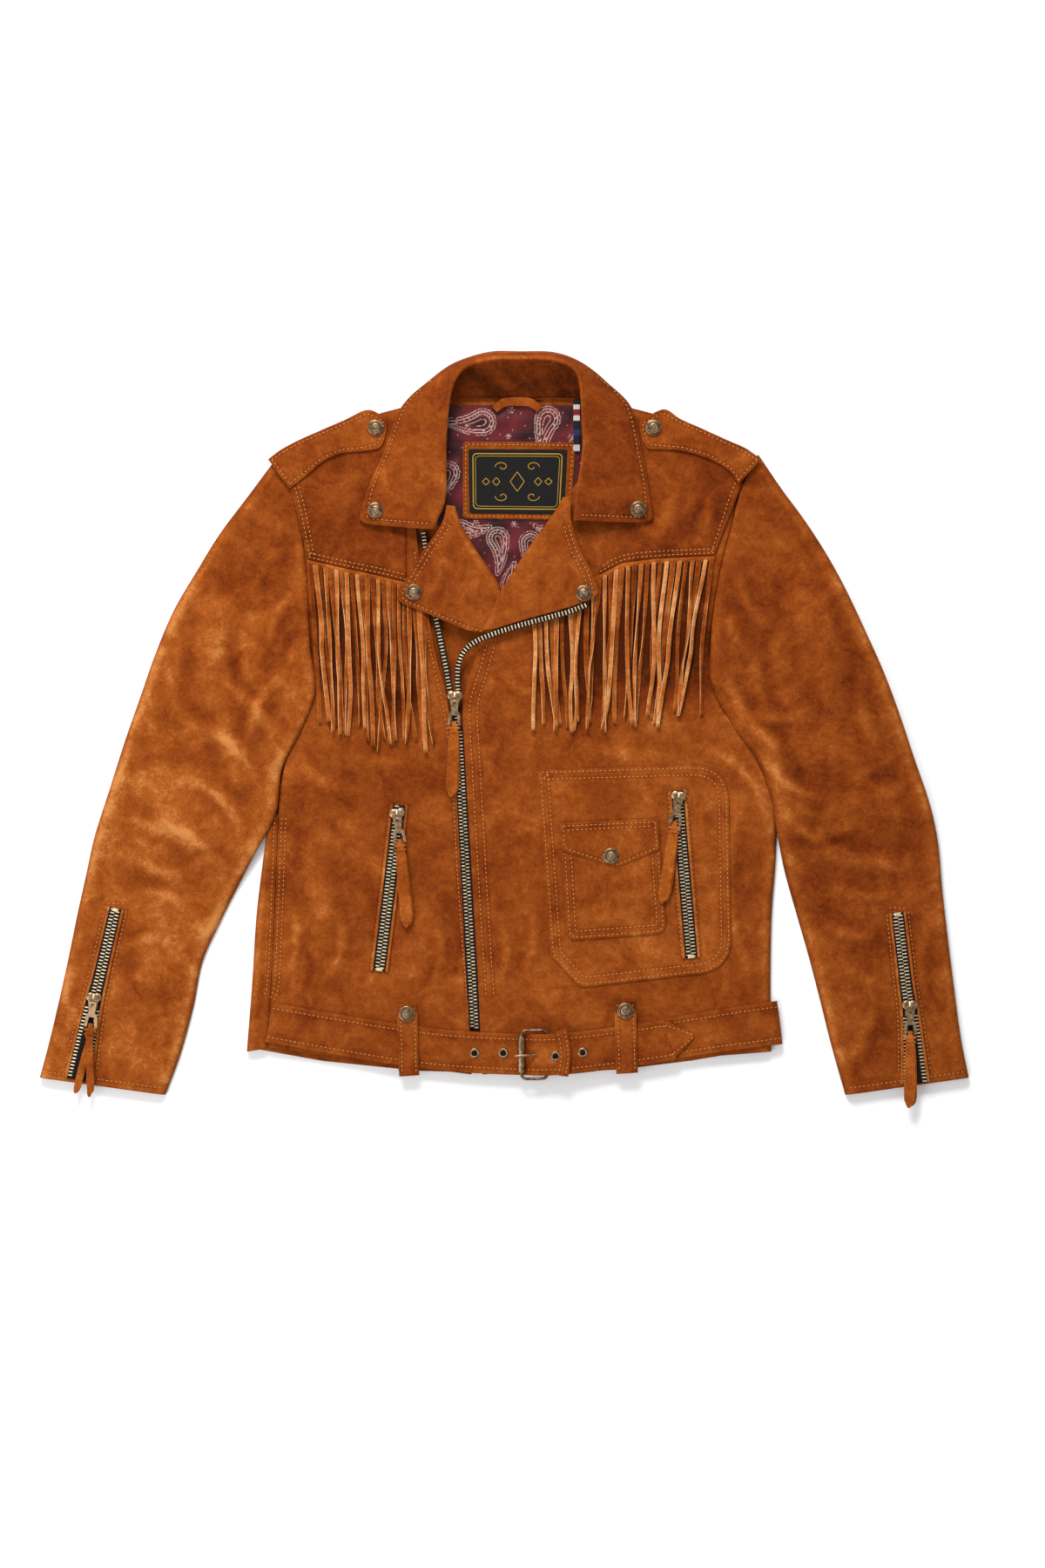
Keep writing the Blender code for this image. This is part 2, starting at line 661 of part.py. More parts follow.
def epaulettes():
    top = YOKE_TOP + GAP + SUEDE
    epaulette("epaulette_left", [
        Row(-217, 248, -197, 221, top + 0.5, top + 0.5, top + 0.5),
        Row(-205, 257, -181, 234, top + 0.8, top + 0.8, top + 0.8),
        Row(-188, 266, -165, 247, top + 0.8, top + 0.8, top + 0.8),
        Row(-170, 274, -148, 254, top + 0.8, top + 0.8, top + 0.8),
        Row(-147, 284, -128, 256, top + 0.5, top + 0.5, top + 0.5),
        Row(-125, 293.5, -113, 260, top + 0.2, top + 0.2, top + 0.2),
        Row(-108, 285, -107.5, 277, top + 0.2, top + 0.2, top + 0.2),
    ])
    epaulette("epaulette_right", [
        Row(215, 225, 236, 248, top + 0.5, top + 0.5, top + 0.5),
        Row(206, 238, 222, 258, top + 0.8, top + 0.8, top + 0.8),
        Row(187, 249, 204, 266, top + 0.8, top + 0.8, top + 0.8),
        Row(163, 256, 180, 277, top + 0.8, top + 0.8, top + 0.8),
        Row(145, 257.5, 162, 285, top + 0.5, top + 0.5, top + 0.5),
        Row(131, 259, 146, 294, top + 0.2, top + 0.2, top + 0.2),
        Row(124, 276, 125, 283, top + 0.2, top + 0.2, top + 0.2),
    ])


# Belt, loops and buckle

BUCKLE_X, BUCKLE_RIGHT = 15.5, 40.0
BUCKLE_LOW, BUCKLE_HIGH = -320.5, -276.0
STRAP_OVER = BELT_TOP + 0.4 + SUEDE


def belt():
    strap("belt_strap", [
        Step(-216, -269, BELT_TOP, 37, SUEDE), Step(-160, -279, BELT_TOP, 37.5, SUEDE),
        Step(-103, -288.5, BELT_TOP, 38, SUEDE), Step(-60, -294, BELT_TOP, 38, SUEDE),
        Step(-27, -296.5, BELT_TOP, 38, SUEDE), Step(6, -298, BELT_TOP + 0.3, 38, SUEDE),
        Step(18, -298.3, BELT_TOP + 0.6, 38, SUEDE), Step(32, -298.5, BELT_TOP + 6.0, 38, SUEDE),
        Step(46, -298, BELT_TOP + 6.4, 38, SUEDE), Step(66, -296.5, BELT_TOP + 4.6, 38, SUEDE),
        Step(92, -293.5, STRAP_OVER + 0.2, 38, SUEDE), Step(120, -290, STRAP_OVER, 38, SUEDE),
        Step(144, -286.5, STRAP_OVER, 38, SUEDE), Step(158, -284, STRAP_OVER, 24, SUEDE),
        Step(173, -281.5, STRAP_OVER, 3, SUEDE),
    ], suede(), across=3)
    strap("belt_right", [
        Step(26, -298.5, BELT_TOP, 37, SUEDE), Step(80, -295.5, BELT_TOP, 37, SUEDE),
        Step(140, -286, BELT_TOP, 38, SUEDE), Step(190, -278, BELT_TOP, 39, SUEDE),
        Step(232, -272, BELT_TOP, 40, SUEDE), Step(246, -270, BELT_TOP - 0.2, 40, SUEDE),
        Step(251, -269.5, BELT_TOP - 1.4, 40, SUEDE), Step(253.5, -269.2, BELT_TOP - 4, 40, SUEDE),
    ], suede(), across=2)


def belt_loop(name, x, y_top, y_low, over, width=20):
    """A loop sewn above the belt, that runs over it and under the hem."""
    low = FRONT_TOP + 0.4 + SUEDE
    strap(name, [
        Step(x, y_top, low, width, SUEDE), Step(x + 0.4, y_top - 8, low, width, SUEDE),
        Step(x + 0.8, y_top - 15, over, width, SUEDE), Step(x + 1.6, y_low + 12, over, width, SUEDE),
        Step(x + 2.2, y_low + 3, over - 0.4, width, SUEDE), Step(x + 2.4, y_low, over - 1.6, width, SUEDE),
    ], suede())


def loops():
    over_strap = STRAP_OVER + 0.6 + SUEDE
    belt_loop("belt_loop_left", -89.5, -252, -318, BELT_TOP + 1.0 + SUEDE, width=18.5)
    belt_loop("belt_loop_right", 110.5, -249, -315.5, over_strap, width=20)
    keeper_top = BELT_TOP + 6.8 + SUEDE
    strap("belt_keeper", [
        Step(52, -274.5, keeper_top - 2.5, 11, THIN_SUEDE), Step(53.5, -277.5, keeper_top, 11, THIN_SUEDE),
        Step(55.5, -298, keeper_top + 0.2, 11, THIN_SUEDE), Step(53.5, -318, keeper_top, 11, THIN_SUEDE),
        Step(52, -321, keeper_top - 2.5, 11, THIN_SUEDE),
    ], suede())


def tube(name, path, radii, sides, finish, closed):
    """A round bar along a path, closed on itself or with flat ends."""
    points, faces = [], []
    count = len(path)
    for i, middle in enumerate(path):
        before = path[i - 1] if closed or i else path[0]
        after = path[(i + 1) % count] if closed or i < count - 1 else path[-1]
        ahead = (after - before).normalized()
        side = ahead.cross(Vector((0, 0, 1))).normalized()
        up = side.cross(ahead)
        for k in range(sides):
            turn = math.tau * k / sides
            points.append(middle + (side * math.cos(turn) + up * math.sin(turn)) * radii[i])
    for i in range(count if closed else count - 1):
        for k in range(sides):
            a, b = i * sides + k, i * sides + (k + 1) % sides
            c, d = (i + 1) % count * sides + (k + 1) % sides, (i + 1) % count * sides + k
            faces.append((a, b, c, d))
    if not closed:
        faces.append(tuple(range(sides)))
        faces.append(tuple(range((count - 1) * sides, count * sides)))
    return solid(name, points, faces, finish)


def buckle():
    wire, roller = 1.45, 3.2
    left_z = BELT_TOP + 0.6 + roller + 0.5
    right_z = BELT_TOP + 0.45 + wire
    outline = rounded(((BUCKLE_X, BUCKLE_HIGH), (BUCKLE_X, BUCKLE_LOW),
                       (BUCKLE_RIGHT, BUCKLE_LOW), (BUCKLE_RIGHT, BUCKLE_HIGH)), 6, parts=3)
    path, radii = [], []
    for x, y in outline:
        share = (x - BUCKLE_X) / (BUCKLE_RIGHT - BUCKLE_X)
        path.append(Vector((x, y, left_z + (right_z - left_z) * share)))
        radii.append(roller if x == BUCKLE_X else wire)
    tube("buckle_frame", path, radii, 8, brass(), closed=True)
    top = left_z + roller + 1.5
    tube("buckle_tongue", [Vector((25.5, -298.5, BELT_TOP + 4.4)), Vector((22, -298.6, top - 1.2)),
                           Vector((16, -298.8, top)), Vector((10, -299, top - 0.8))],
         [1.2, 1.2, 1.2, 0.8], 6, brass(), closed=False)


# Snaps

def snap(name, x, y, z):
    """The domed cap of a press stud."""
    sides = 12
    profile = ((7.2, 0.0), (7.4, 0.8), (6.6, 1.6), (5.2, 2.0), (0.0, 2.3))
    points, faces = [], []
    for radius, height in profile[:-1]:
        for k in range(sides):
            turn = math.tau * k / sides
            points.append((x + radius * math.cos(turn), y + radius * math.sin(turn), z + height))
    points.append((x, y, z + profile[-1][1]))
    for ring in range(len(profile) - 2):
        for k in range(sides):
            a, b = ring * sides + k, ring * sides + (k + 1) % sides
            faces.append((a, b, b + sides, a + sides))
    start, tip = (len(profile) - 2) * sides, len(points) - 1
    for k in range(sides):
        faces.append((start + k, start + (k + 1) % sides, tip))
    faces.append(tuple(reversed(range(sides))))
    solid(name, points, faces, brass())


# Pockets

PATCH_TOP = FRONT_TOP + GAP + THIN_SUEDE
POUCH_TOP = PATCH_TOP + GAP + THIN_SUEDE
FLAP_COVER_TOP = POUCH_TOP + GAP + THIN_SUEDE


def pocket():
    patch = rounded(((31, -37, 2), (43, -208, 5), (70, -237, 5), (209, -221, 30), (206, -32, 34)), 3, parts=5)
    plate("pocket_patch", patch, FRONT_TOP + GAP, PATCH_TOP, suede())
    pouch = rounded(((52, -90, 1), (58, -194, 9), (149, -187, 9), (142, -86, 1)), 3)
    plate("pocket_pouch", pouch, PATCH_TOP + GAP, POUCH_TOP, suede())
    flap = rounded(((51, -86, 1), (53, -111, 3), (103, -127.5, 5), (143, -110, 3), (141, -82, 1)), 2)
    plate("pocket_flap", flap, POUCH_TOP + GAP, FLAP_COVER_TOP, suede())


# Zips and their pulls

def zip_strip(name, steps, parts=2):
    strap(name, steps, tape(), parts=parts)


def zips():
    chain = 7.2
    top = FRONT_TOP + 0.5
    zip_strip("zip_main", [
        Step(-26.7, -275.5, top, chain, 2.4), Step(-28.5, -240, top, chain, 2.4),
        Step(-32.5, -170, top, chain, 2.4), Step(-36.5, -100, top, chain, 2.4),
        Step(-40.5, -30, top, chain, 2.4), Step(-44, 14, top, chain, 2.4),
        Step(-49, 31, top, 5, 2.4), Step(-54.2, 60, top, 6, 2.4), Step(-61.2, 95, top, 6, 2.4),
        Step(-67.2, 130, top, 6, 2.4), Step(-72.2, 165, top, 6, 2.4), Step(-74.6, 182, top, 6, 2.4),
    ], parts=1)
    lapel_edge = OVER_LAPEL_TOP - 0.2
    zip_strip("zip_upper_right", [
        Step(-41.8, 29, top + 0.6, 4.6, 2), Step(-43, 46, top + 1.6, 5, 2),
        Step(-41.5, 62, top + 3.4, 5, 2), Step(-34, 75, LAPEL_TOP + GAP + 2.4, 5, 2),
        Step(-18, 84.5, lapel_edge, 5, 2), Step(10, 94, lapel_edge, 5, 2),
        Step(40, 102.4, lapel_edge, 5, 2), Step(60, 108, lapel_edge, 5, 2), Step(76, 114.5, lapel_edge, 5, 2),
    ], parts=1)
    on_front = FRONT_TOP + GAP + 1.4
    zip_strip("zip_pocket_left", [Step(-96.5, -69, on_front, 9, 1.4), Step(-106, -150, on_front, 9, 1.4),
                                  Step(-115, -222, on_front, 8, 1.4)], parts=1)
    on_patch = PATCH_TOP + GAP + 1.4
    zip_strip("zip_pocket_right", [Step(159, -56, on_patch, 9, 1.4), Step(166, -140, on_patch, 9, 1.4),
                                   Step(172, -210, on_patch, 8, 1.4)], parts=1)
    on_sleeve = SLEEVE_TOP + GAP + 1.6
    zip_strip("zip_cuff_left", [Step(-357, -164, on_sleeve, 8, 1.4), Step(-371, -224, on_sleeve, 8, 1.4),
                                Step(-380, -262, on_sleeve, 13, 1.4), Step(-391, -322, on_sleeve, 21, 1.4)],
              parts=1)
    zip_strip("zip_cuff_right", [Step(361.5, -168, on_sleeve, 8, 1.4), Step(369, -232, on_sleeve, 8, 1.4),
                                 Step(373.5, -266, on_sleeve, 12, 1.4), Step(378, -325, on_sleeve, 22, 1.4)],
              parts=1)


SLIDER_HIGH = 2.6
HINGE_HIGH = 1.7
TAB_THICK = 1.4


def turned(x, y, ahead, along_by, aside_by, z):
    """A point given along and beside a direction of the plan."""
    side = Vector((ahead.y, -ahead.x))
    p = Vector((x, y)) + ahead * along_by + side * aside_by
    return Vector((p.x, p.y, z))


def prism(name, x, y, ahead, outline, low, high, finish, drop=0.0):
    """A plate whose outline is (along, beside) a direction; drop lowers it per millimetre along."""
    count = len(outline)
    points = [turned(x, y, ahead, a, b, low - drop * a) for a, b in outline]
    points += [turned(x, y, ahead, a, b, high - drop * a) for a, b in outline]
    faces = [tuple(reversed(range(count))), tuple(range(count, 2 * count))]
    for i in range(count):
        j = (i + 1) % count
        faces.append((i, j, count + j, count + i))
    return solid(name, points, faces, finish)


def across_plate(name, x, y, z, ahead, outline, half_width):
    """A plate across a direction of the plan; its outline is (along, up) from a point."""
    count = len(outline)
    points = []
    for aside in (-half_width, half_width):
        points += [turned(x, y, ahead, along_by, aside, z + up) for along_by, up in outline]
    faces = [tuple(reversed(range(count))), tuple(range(count, 2 * count))]
    for k in range(count):
        j = (k + 1) % count
        faces.append((k, j, count + j, count + k))
    return solid(name, points, faces, brass())


def arc(radius, first, last, parts):
    """Points on a circle, from one angle to another in degrees."""
    turns = [math.radians(first + (last - first) * k / parts) for k in range(parts + 1)]
    return [(radius * math.cos(turn), radius * math.sin(turn)) for turn in turns]


def combine(made, helper, operation):
    """Join a helper to a piece, or cut it out."""
    helper.hide_render = True
    helper.display_type = "WIRE"
    step = made.modifiers.new(helper.name, "BOOLEAN")
    step.operation = operation
    step.object = helper


LUG_RADIUS = 1.5
LUG_HALF = 0.9
BORE_RADIUS = 0.9
PIN_RADIUS = 0.6


def zip_pull(where, x, y, z, ahead_x, ahead_y, thong):
    """A slider fixed on its zip, the tab whose pin turns in its lug, and the thong knotted in the tab.

    x, y is the pin's middle and z the zip's top.
    """
    ahead = Vector((ahead_x, ahead_y)).normalized()
    base = z + GAP
    axis_z = base + SLIDER_HIGH + HINGE_HIGH
    body = ((-6, -3), (-3.5, -4.6), (3, -4.4), (5, -3), (5, 3), (3, 4.4), (-3.5, 4.6), (-6, 3))
    slider = prism(f"slider_{where}", x, y, ahead, body, base, base + SLIDER_HIGH, brass())
    lug = arc(LUG_RADIUS, -30, 210, 10) + [(-1.3, -3.2), (1.3, -3.2)]
    bore = arc(BORE_RADIUS, 0, 337.5, 15)
    combine(slider, across_plate(f"lug_{where}", x, y, axis_z, ahead, lug, LUG_HALF), "UNION")
    combine(slider, across_plate(f"bore_{where}", x, y, axis_z, ahead, bore, 2), "DIFFERENCE")
    tab = ((-1, -3.6), (-1, -1.3), (2.5, -1.3), (2.5, 1.3), (-1, 1.3), (-1, 3.6), (9, 3.0), (12, 5.2),
           (22, 6.2), (22, 3.6), (13, 2.4), (13, -2.4), (22, -3.6), (22, -6.2), (12, -5.2), (9, -3.0))
    low, high = axis_z - TAB_THICK / 2, axis_z + TAB_THICK / 2
    pull = prism(f"pull_{where}", x, y, ahead, tab, low, high, brass(), drop=0.085)
    pin = arc(PIN_RADIUS, 0, 337.5, 15)
    combine(pull, across_plate(f"pin_{where}", x, y, axis_z, ahead, pin, 2.4), "UNION")
    hang(pull, x, y, axis_z)
    steps = []
    for distance, aside, width, high, thick in thong:
        p = turned(x, y, ahead, distance, aside, 0)
        steps.append(Step(p.x, p.y, z + high, width, thick))
    hang(strap(f"thong_{where}", steps, suede(), parts=1), x, y, axis_z)


Thong = namedtuple("Thong", "along aside width high thick")


def long_thong(length):
    """A folded strip of suede, knotted at the tab and cut to a point."""
    return (
        Thong(15, 0, 3.8, 5.4, 2.6), Thong(21, 0, 4.6, 5.2, 2.6), Thong(25, 0, 10, 5.2, 3.6),
        Thong(31, 0, 9.5, 5.0, 3.6), Thong(36, 0, 7, 4.2, 2.4), Thong(0.62 * length, 0.6, 8.2, 3.4, 2.4),
        Thong(length - 9, 1.2, 8.6, 3.2, 2.4), Thong(length, 3.2, 2.5, 3.2, 2.4),
    )


def pulls():
    zip_pull("main", -45.5, 26, FRONT_TOP + 1.5, -0.02, -1, long_thong(88))
    zip_pull("pocket_left", -98, -82, FRONT_TOP + GAP + 1.4, 0.1, -1, long_thong(100))
    zip_pull("pocket_right", 159.5, -66, FRONT_TOP + 2 * GAP + THIN_SUEDE + 1.4, -0.14, -1, long_thong(94))
    zip_pull("cuff_left", -377.5, -251, SLEEVE_TOP + GAP + 1.6, -0.1, -1, long_thong(90))
    zip_pull("cuff_right", 372.5, -258, SLEEVE_TOP + GAP + 1.6, 0.01, -1, long_thong(89.3))


def snaps():
    on_leaf = 16.05
    snap("snap_collar_left", -118, 201, on_leaf)
    snap("snap_collar_right", 123, 202, on_leaf)
    snap("snap_lapel_left", -83, 126, LAPEL_TOP + GAP)
    snap("snap_lapel_right", 73, 125, OVER_LAPEL_TOP + GAP)
    snap("snap_epaulette_left", -118, 277, YOKE_TOP + 2 * GAP + SUEDE + 0.3)
    snap("snap_epaulette_right", 137, 277, YOKE_TOP + 2 * GAP + SUEDE + 0.3)
    snap("snap_flap", 98, -116, FLAP_COVER_TOP + GAP)
    snap("snap_loop_left", -89.5, -261, BELT_TOP + 3.35)
    snap("snap_loop_right", 111, -258, STRAP_OVER + 3.0)


def main():
    for old in list(bpy.data.objects):
        bpy.data.objects.remove(old)
    back_panel()
    back_lining()
    label_patch()
    hanger_loop()
    front_left()
    front_right()
    side_panel_left()
    yoke_left()
    yoke_right()
    fringe("fringe_left", YOKE_SEAM_LEFT, 23, ((-170, 2), (-140, 0), (-110, -14), (-70, -20)), 5)
    fringe("fringe_right", YOKE_SEAM_RIGHT, 30, ((174, 12), (140, 8), (90, 2), (28, -2)), 11)
    sleeves()
    collar()
    lapel_left()
    lapel_right()
    epaulettes()
    belt()
    loops()
    buckle()
    pocket()
    zips()
    pulls()
    snaps()


main()
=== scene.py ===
import math
import random
from collections import namedtuple

import bmesh
import bpy
import numpy as np
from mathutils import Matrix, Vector
from mathutils.bvhtree import BVHTree


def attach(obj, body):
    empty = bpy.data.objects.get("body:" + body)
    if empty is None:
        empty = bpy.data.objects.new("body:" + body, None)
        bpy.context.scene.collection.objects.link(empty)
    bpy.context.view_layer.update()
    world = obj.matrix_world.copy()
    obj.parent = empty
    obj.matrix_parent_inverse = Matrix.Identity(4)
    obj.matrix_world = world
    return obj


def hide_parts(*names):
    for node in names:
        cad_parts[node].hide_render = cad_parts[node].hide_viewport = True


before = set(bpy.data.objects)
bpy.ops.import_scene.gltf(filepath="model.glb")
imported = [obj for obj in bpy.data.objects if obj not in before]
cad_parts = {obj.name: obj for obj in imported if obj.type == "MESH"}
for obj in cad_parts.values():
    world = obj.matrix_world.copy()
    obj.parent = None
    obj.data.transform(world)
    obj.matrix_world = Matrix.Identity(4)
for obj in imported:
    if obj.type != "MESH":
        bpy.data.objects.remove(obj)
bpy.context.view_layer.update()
mm = 0.001
cloth = "cloth"

# Fringed suede riding jacket, laid flat on its back. Lengths are in millimetres until a mesh is made.
# X runs across, Y from the hem to the collar, Z up from the floor.

layers = {
    "suede": 2.0, "thinSuede": 1.6, "gap": 0.35, "backTop": 2.0, "seamRest": 3.3,
    "liningTop": 3.35, "flapTop": 5.2, "frontTop": 7.6, "yokeTop": 9.55, "beltTop": 10.0,
}
gap, hide, thin = (layers[key] for key in ("gap", "suede", "thinSuede"))
frontTop, yokeTop, beltTop = layers["frontTop"], layers["yokeTop"], layers["beltTop"]
seamRest = layers["seamRest"]
sleeveTop = frontTop + 0.2
onBody = frontTop + 2.4
overBody = frontTop + 5.0
patchTop = frontTop + gap + thin
pouchTop = patchTop + gap + thin
flapTop = pouchTop + gap + thin
lapelTop = frontTop + gap + 1.2 + thin + gap + thin
overLapelTop = lapelTop + gap + 0.8 + thin
strapOver = beltTop + 2.4

print("materials")


def linear(hexColour):
    # sRGB hex to the linear values that shaders use
    parts = [int(hexColour[i:i + 2], 16) / 255 for i in (1, 3, 5)]
    return [c / 12.92 if c <= 0.04045 else ((c + 0.055) / 1.055) ** 2.4 for c in parts] + [1.0]


def addNode(tree, kind, inputs=None, feeds=None, **settings):
    # feeds is the socket that takes the node's first output
    node = tree.nodes.new(kind)
    for key, value in settings.items():
        setattr(node, key, value)
    for key, value in (inputs or {}).items():
        if isinstance(value, bpy.types.NodeSocket):
            tree.links.new(value, node.inputs[key])
        else:
            node.inputs[key].default_value = value
    if feeds:
        tree.links.new(node.outputs[0], feeds)
    return node


def newMaterial(name, **surface):
    made = bpy.data.materials.new(name)
    made.use_nodes = True
    shader = made.node_tree.nodes["Principled BSDF"]
    for key, value in surface.items():
        socket = key.replace("_", " ")
        shader.inputs[socket].default_value = value
    place = addNode(made.node_tree, "ShaderNodeTexCoord").outputs["Object"]
    return made, made.node_tree, shader, place


def setRamp(ramp, stops):
    # stops are (place, hex colour)
    elements = ramp.color_ramp.elements
    while len(elements) < len(stops):
        elements.new(0.5)
    for element, (place, colour) in zip(elements, stops):
        element.position = place
        element.color = linear(colour)


def perMetre(size):
    # noise scale whose grains are about size millimetres across
    return 1 / (size * mm)


# a wave texture of scale 1 has about this many bands in a metre
waveTurns = 3.2


suedeLook = {
    "shades": ((0.08, "#401703"), (0.34, "#6C2C09"), (0.52, "#803C10"), (0.70, "#964D1A"),
               (0.95, "#BA773D")),
    # each grain's size, detail, distortion and share in the tone
    "grains": {"brushed": (75, 3.0, 1.2, 0.70), "mottle": (16, 5.0, 0.6, 0.62),
               "tuft": (3.4, 3.0, 0.8, 0.42), "nap": (1.1, 2.0, 0.0, 0.40)},
    "wearAndShadeShare": 1.0,
    # strength and depth in millimetres
    "relief": {"tuft": (0.55, 0.45), "nap": (0.6, 0.30)},
}


def suedeMaterial(name, look, brighter=0.0):
    # split cowhide, sanded to a nap: matt, with brushed patches, and the painted light and shade that the
    # meshes carry
    made, tree, shader, place = newMaterial(
        name, Roughness=0.95, Sheen_Weight=0.16, Sheen_Roughness=0.5, Specular_IOR_Level=0.06,
        Sheen_Tint=linear("#E8873A"),
    )
    grains = {"wearAndShade": addNode(tree, "ShaderNodeAttribute", attribute_name="wearAndShade").outputs["Fac"]}
    shares = {"wearAndShade": look["wearAndShadeShare"]}
    for grain, (size, detail, distortion, share) in look["grains"].items():
        shares[grain] = share
        grains[grain] = addNode(tree, "ShaderNodeTexNoise", {
            "Vector": place, "Scale": perMetre(size), "Detail": detail, "Roughness": 0.6,
            "Distortion": distortion,
        }).outputs["Fac"]
    # every grain is centred on its own middle, so that its share only spreads the tone
    tone = 0.5 + brighter - sum(shares.values()) / 2
    for grain, share in shares.items():
        tone = addNode(tree, "ShaderNodeMath", {0: grains[grain], 1: share, 2: tone},
                       operation="MULTIPLY_ADD").outputs[0]
    ramp = addNode(tree, "ShaderNodeValToRGB", {"Fac": tone}, shader.inputs["Base Color"])
    setRamp(ramp, look["shades"])
    above = {}
    for grain, (strength, depth) in look["relief"].items():
        bump = addNode(tree, "ShaderNodeBump", {
            "Strength": strength, "Distance": depth * mm, "Height": grains[grain], **above,
        }, shader.inputs["Normal"])
        above = {"Normal": bump.outputs["Normal"]}
    return made


def threadMaterial():
    # twisted polyester thread, golden, slightly glossy
    made, tree, shader, place = newMaterial("polyesterThread", Roughness=0.65, Specular_IOR_Level=0.12)
    twist = addNode(tree, "ShaderNodeTexNoise", {"Vector": place, "Scale": perMetre(0.9), "Detail": 2.0})
    ramp = addNode(tree, "ShaderNodeValToRGB", {"Fac": twist.outputs["Fac"]}, shader.inputs["Base Color"])
    setRamp(ramp, ((0.25, "#A2602A"), (0.75, "#CE9250")))
    return made


brassLook = {"bright": "#B0916E", "base": "#7A604A", "dark": "#33251A", "patch": 3.4, "scratch": 0.5}


def antiqueBrassMaterial(name, look, roughness=0.36):
    # brass plated, blackened and then rubbed: dark in the hollows, brighter on the high places
    made, tree, shader, place = newMaterial(name, Metallic=1.0, Roughness=roughness)
    patches, scratches = (
        addNode(tree, "ShaderNodeTexNoise", {
            "Vector": place, "Scale": perMetre(look[grain]), "Detail": detail,
        }).outputs["Fac"]
        for grain, detail in (("patch", 5.0), ("scratch", 2.0))
    )
    rubbed = addNode(tree, "ShaderNodeAttribute", attribute_name="wearAndShade").outputs["Fac"]
    tone = addNode(tree, "ShaderNodeMath", {0: patches, 1: rubbed}, operation="ADD").outputs[0]
    tone = addNode(tree, "ShaderNodeMath", {0: tone, 1: 0.5}, operation="SUBTRACT").outputs[0]
    ramp = addNode(tree, "ShaderNodeValToRGB", {"Fac": tone}, shader.inputs["Base Color"])
    setRamp(ramp, ((0.2, look["dark"]), (0.5, look["base"]), (0.8, look["bright"])))
    addNode(tree, "ShaderNodeBump", {"Strength": 0.25, "Distance": 0.08 * mm, "Height": scratches},
            shader.inputs["Normal"])
    addNode(tree, "ShaderNodeMapRange", {
        "Value": patches, "To Min": roughness - 0.1, "To Max": roughness + 0.18,
    }, shader.inputs["Roughness"])
    return made


def tapeMaterial(name, dark, light, threadSize=1.2):
    # woven polyester tape; its threads are drawn coarser than real so that they show
    made, tree, shader, place = newMaterial(name, Roughness=0.85, Specular_IOR_Level=0.2)
    bands = [
        addNode(tree, "ShaderNodeTexWave", {"Vector": place, "Scale": perMetre(threadSize) / waveTurns},
                bands_direction=way).outputs["Fac"]
        for way in ("X", "Y")
    ]
    weave = addNode(tree, "ShaderNodeMath", {0: bands[0], 1: bands[1]}, operation="MULTIPLY").outputs[0]
    ramp = addNode(tree, "ShaderNodeValToRGB", {"Fac": weave}, shader.inputs["Base Color"])
    setRamp(ramp, ((0.1, dark), (0.9, light)))
    addNode(tree, "ShaderNodeBump", {"Strength": 0.5, "Distance": 0.15 * mm, "Height": weave},
            shader.inputs["Normal"])
    return made


def satinMaterial():
    # maroon satin with printed cream figures; the print is painted on the mesh's own points
    made, tree, shader, place = newMaterial(
        "printedSatin", Roughness=0.45, Specular_IOR_Level=0.24, Sheen_Weight=0.03, Sheen_Roughness=0.3,
        Sheen_Tint=linear("#D88880"),
    )
    printed = addNode(tree, "ShaderNodeAttribute", attribute_name="print").outputs["Fac"]
    # painted sheen: broad lighter patches in the maroon ground
    paintedSheen = addNode(tree, "ShaderNodeTexNoise", {"Vector": place, "Scale": perMetre(22), "Detail": 3.0})
    ground = addNode(tree, "ShaderNodeValToRGB", {"Fac": paintedSheen.outputs["Fac"]})
    setRamp(ground, ((0.32, "#1B0206"), (0.68, "#5E131A")))
    mixed = addNode(tree, "ShaderNodeMix", {
        0: printed, 6: ground.outputs["Color"], 7: linear("#CFA79B"),
    }, data_type="RGBA")
    tree.links.new(mixed.outputs[2], shader.inputs["Base Color"])
    warp = addNode(tree, "ShaderNodeTexWave", {"Vector": place, "Scale": perMetre(0.8) / waveTurns},
                   bands_direction="DIAGONAL").outputs["Fac"]
    addNode(tree, "ShaderNodeBump", {"Strength": 0.2, "Distance": 0.05 * mm, "Height": warp},
            shader.inputs["Normal"])
    return made


def floorMaterial():
    made, tree, shader, place = newMaterial("whitePaper", Roughness=0.9, Specular_IOR_Level=0.1)
    grain = addNode(tree, "ShaderNodeTexNoise", {"Vector": place, "Scale": perMetre(40), "Detail": 2.0})
    ramp = addNode(tree, "ShaderNodeValToRGB", {"Fac": grain.outputs["Fac"]}, shader.inputs["Base Color"])
    setRamp(ramp, ((0.0, "#F8F8F8"), (1.0, "#FCFCFC")))
    return made


suede = suedeMaterial("nappedSuede", suedeLook)
# the cut sides of the strands and thongs show the paler raw hide
cutLook = dict(suedeLook, shades=((0.05, "#401703"), (0.32, "#6C2C09"), (0.55, "#8E4614"),
                                  (0.72, "#A85B22"), (0.90, "#C48850"), (1.0, "#D3A57C")))
suedeCord = suedeMaterial("suedeCutEdge", cutLook, brighter=0.06)
thread = threadMaterial()
antiqueBrass = antiqueBrassMaterial("antiqueBrass", brassLook)
toothLight = {"bright": "#FAEBCB", "base": "#E2CDA6", "dark": "#7A6446", "patch": 1.6, "scratch": 0.4}
toothBrass = antiqueBrassMaterial("toothBrass", toothLight, 0.42)
blackTape = tapeMaterial("wovenZipTape", "#0A0504", "#1C110C")
blackLabel = tapeMaterial("wovenLabel", "#0B0A0A", "#211F1E", 0.9)
goldThread = tapeMaterial("goldEmbroidery", "#9A7420", "#D9B24A", 0.8)
satin = satinMaterial()

print("shapes")

Row = namedtuple("Row", "leftX leftY rightX rightY top leftRest rightRest")
Crease = namedtuple("Crease", "x0 y0 x1 y1 height halfWidth")


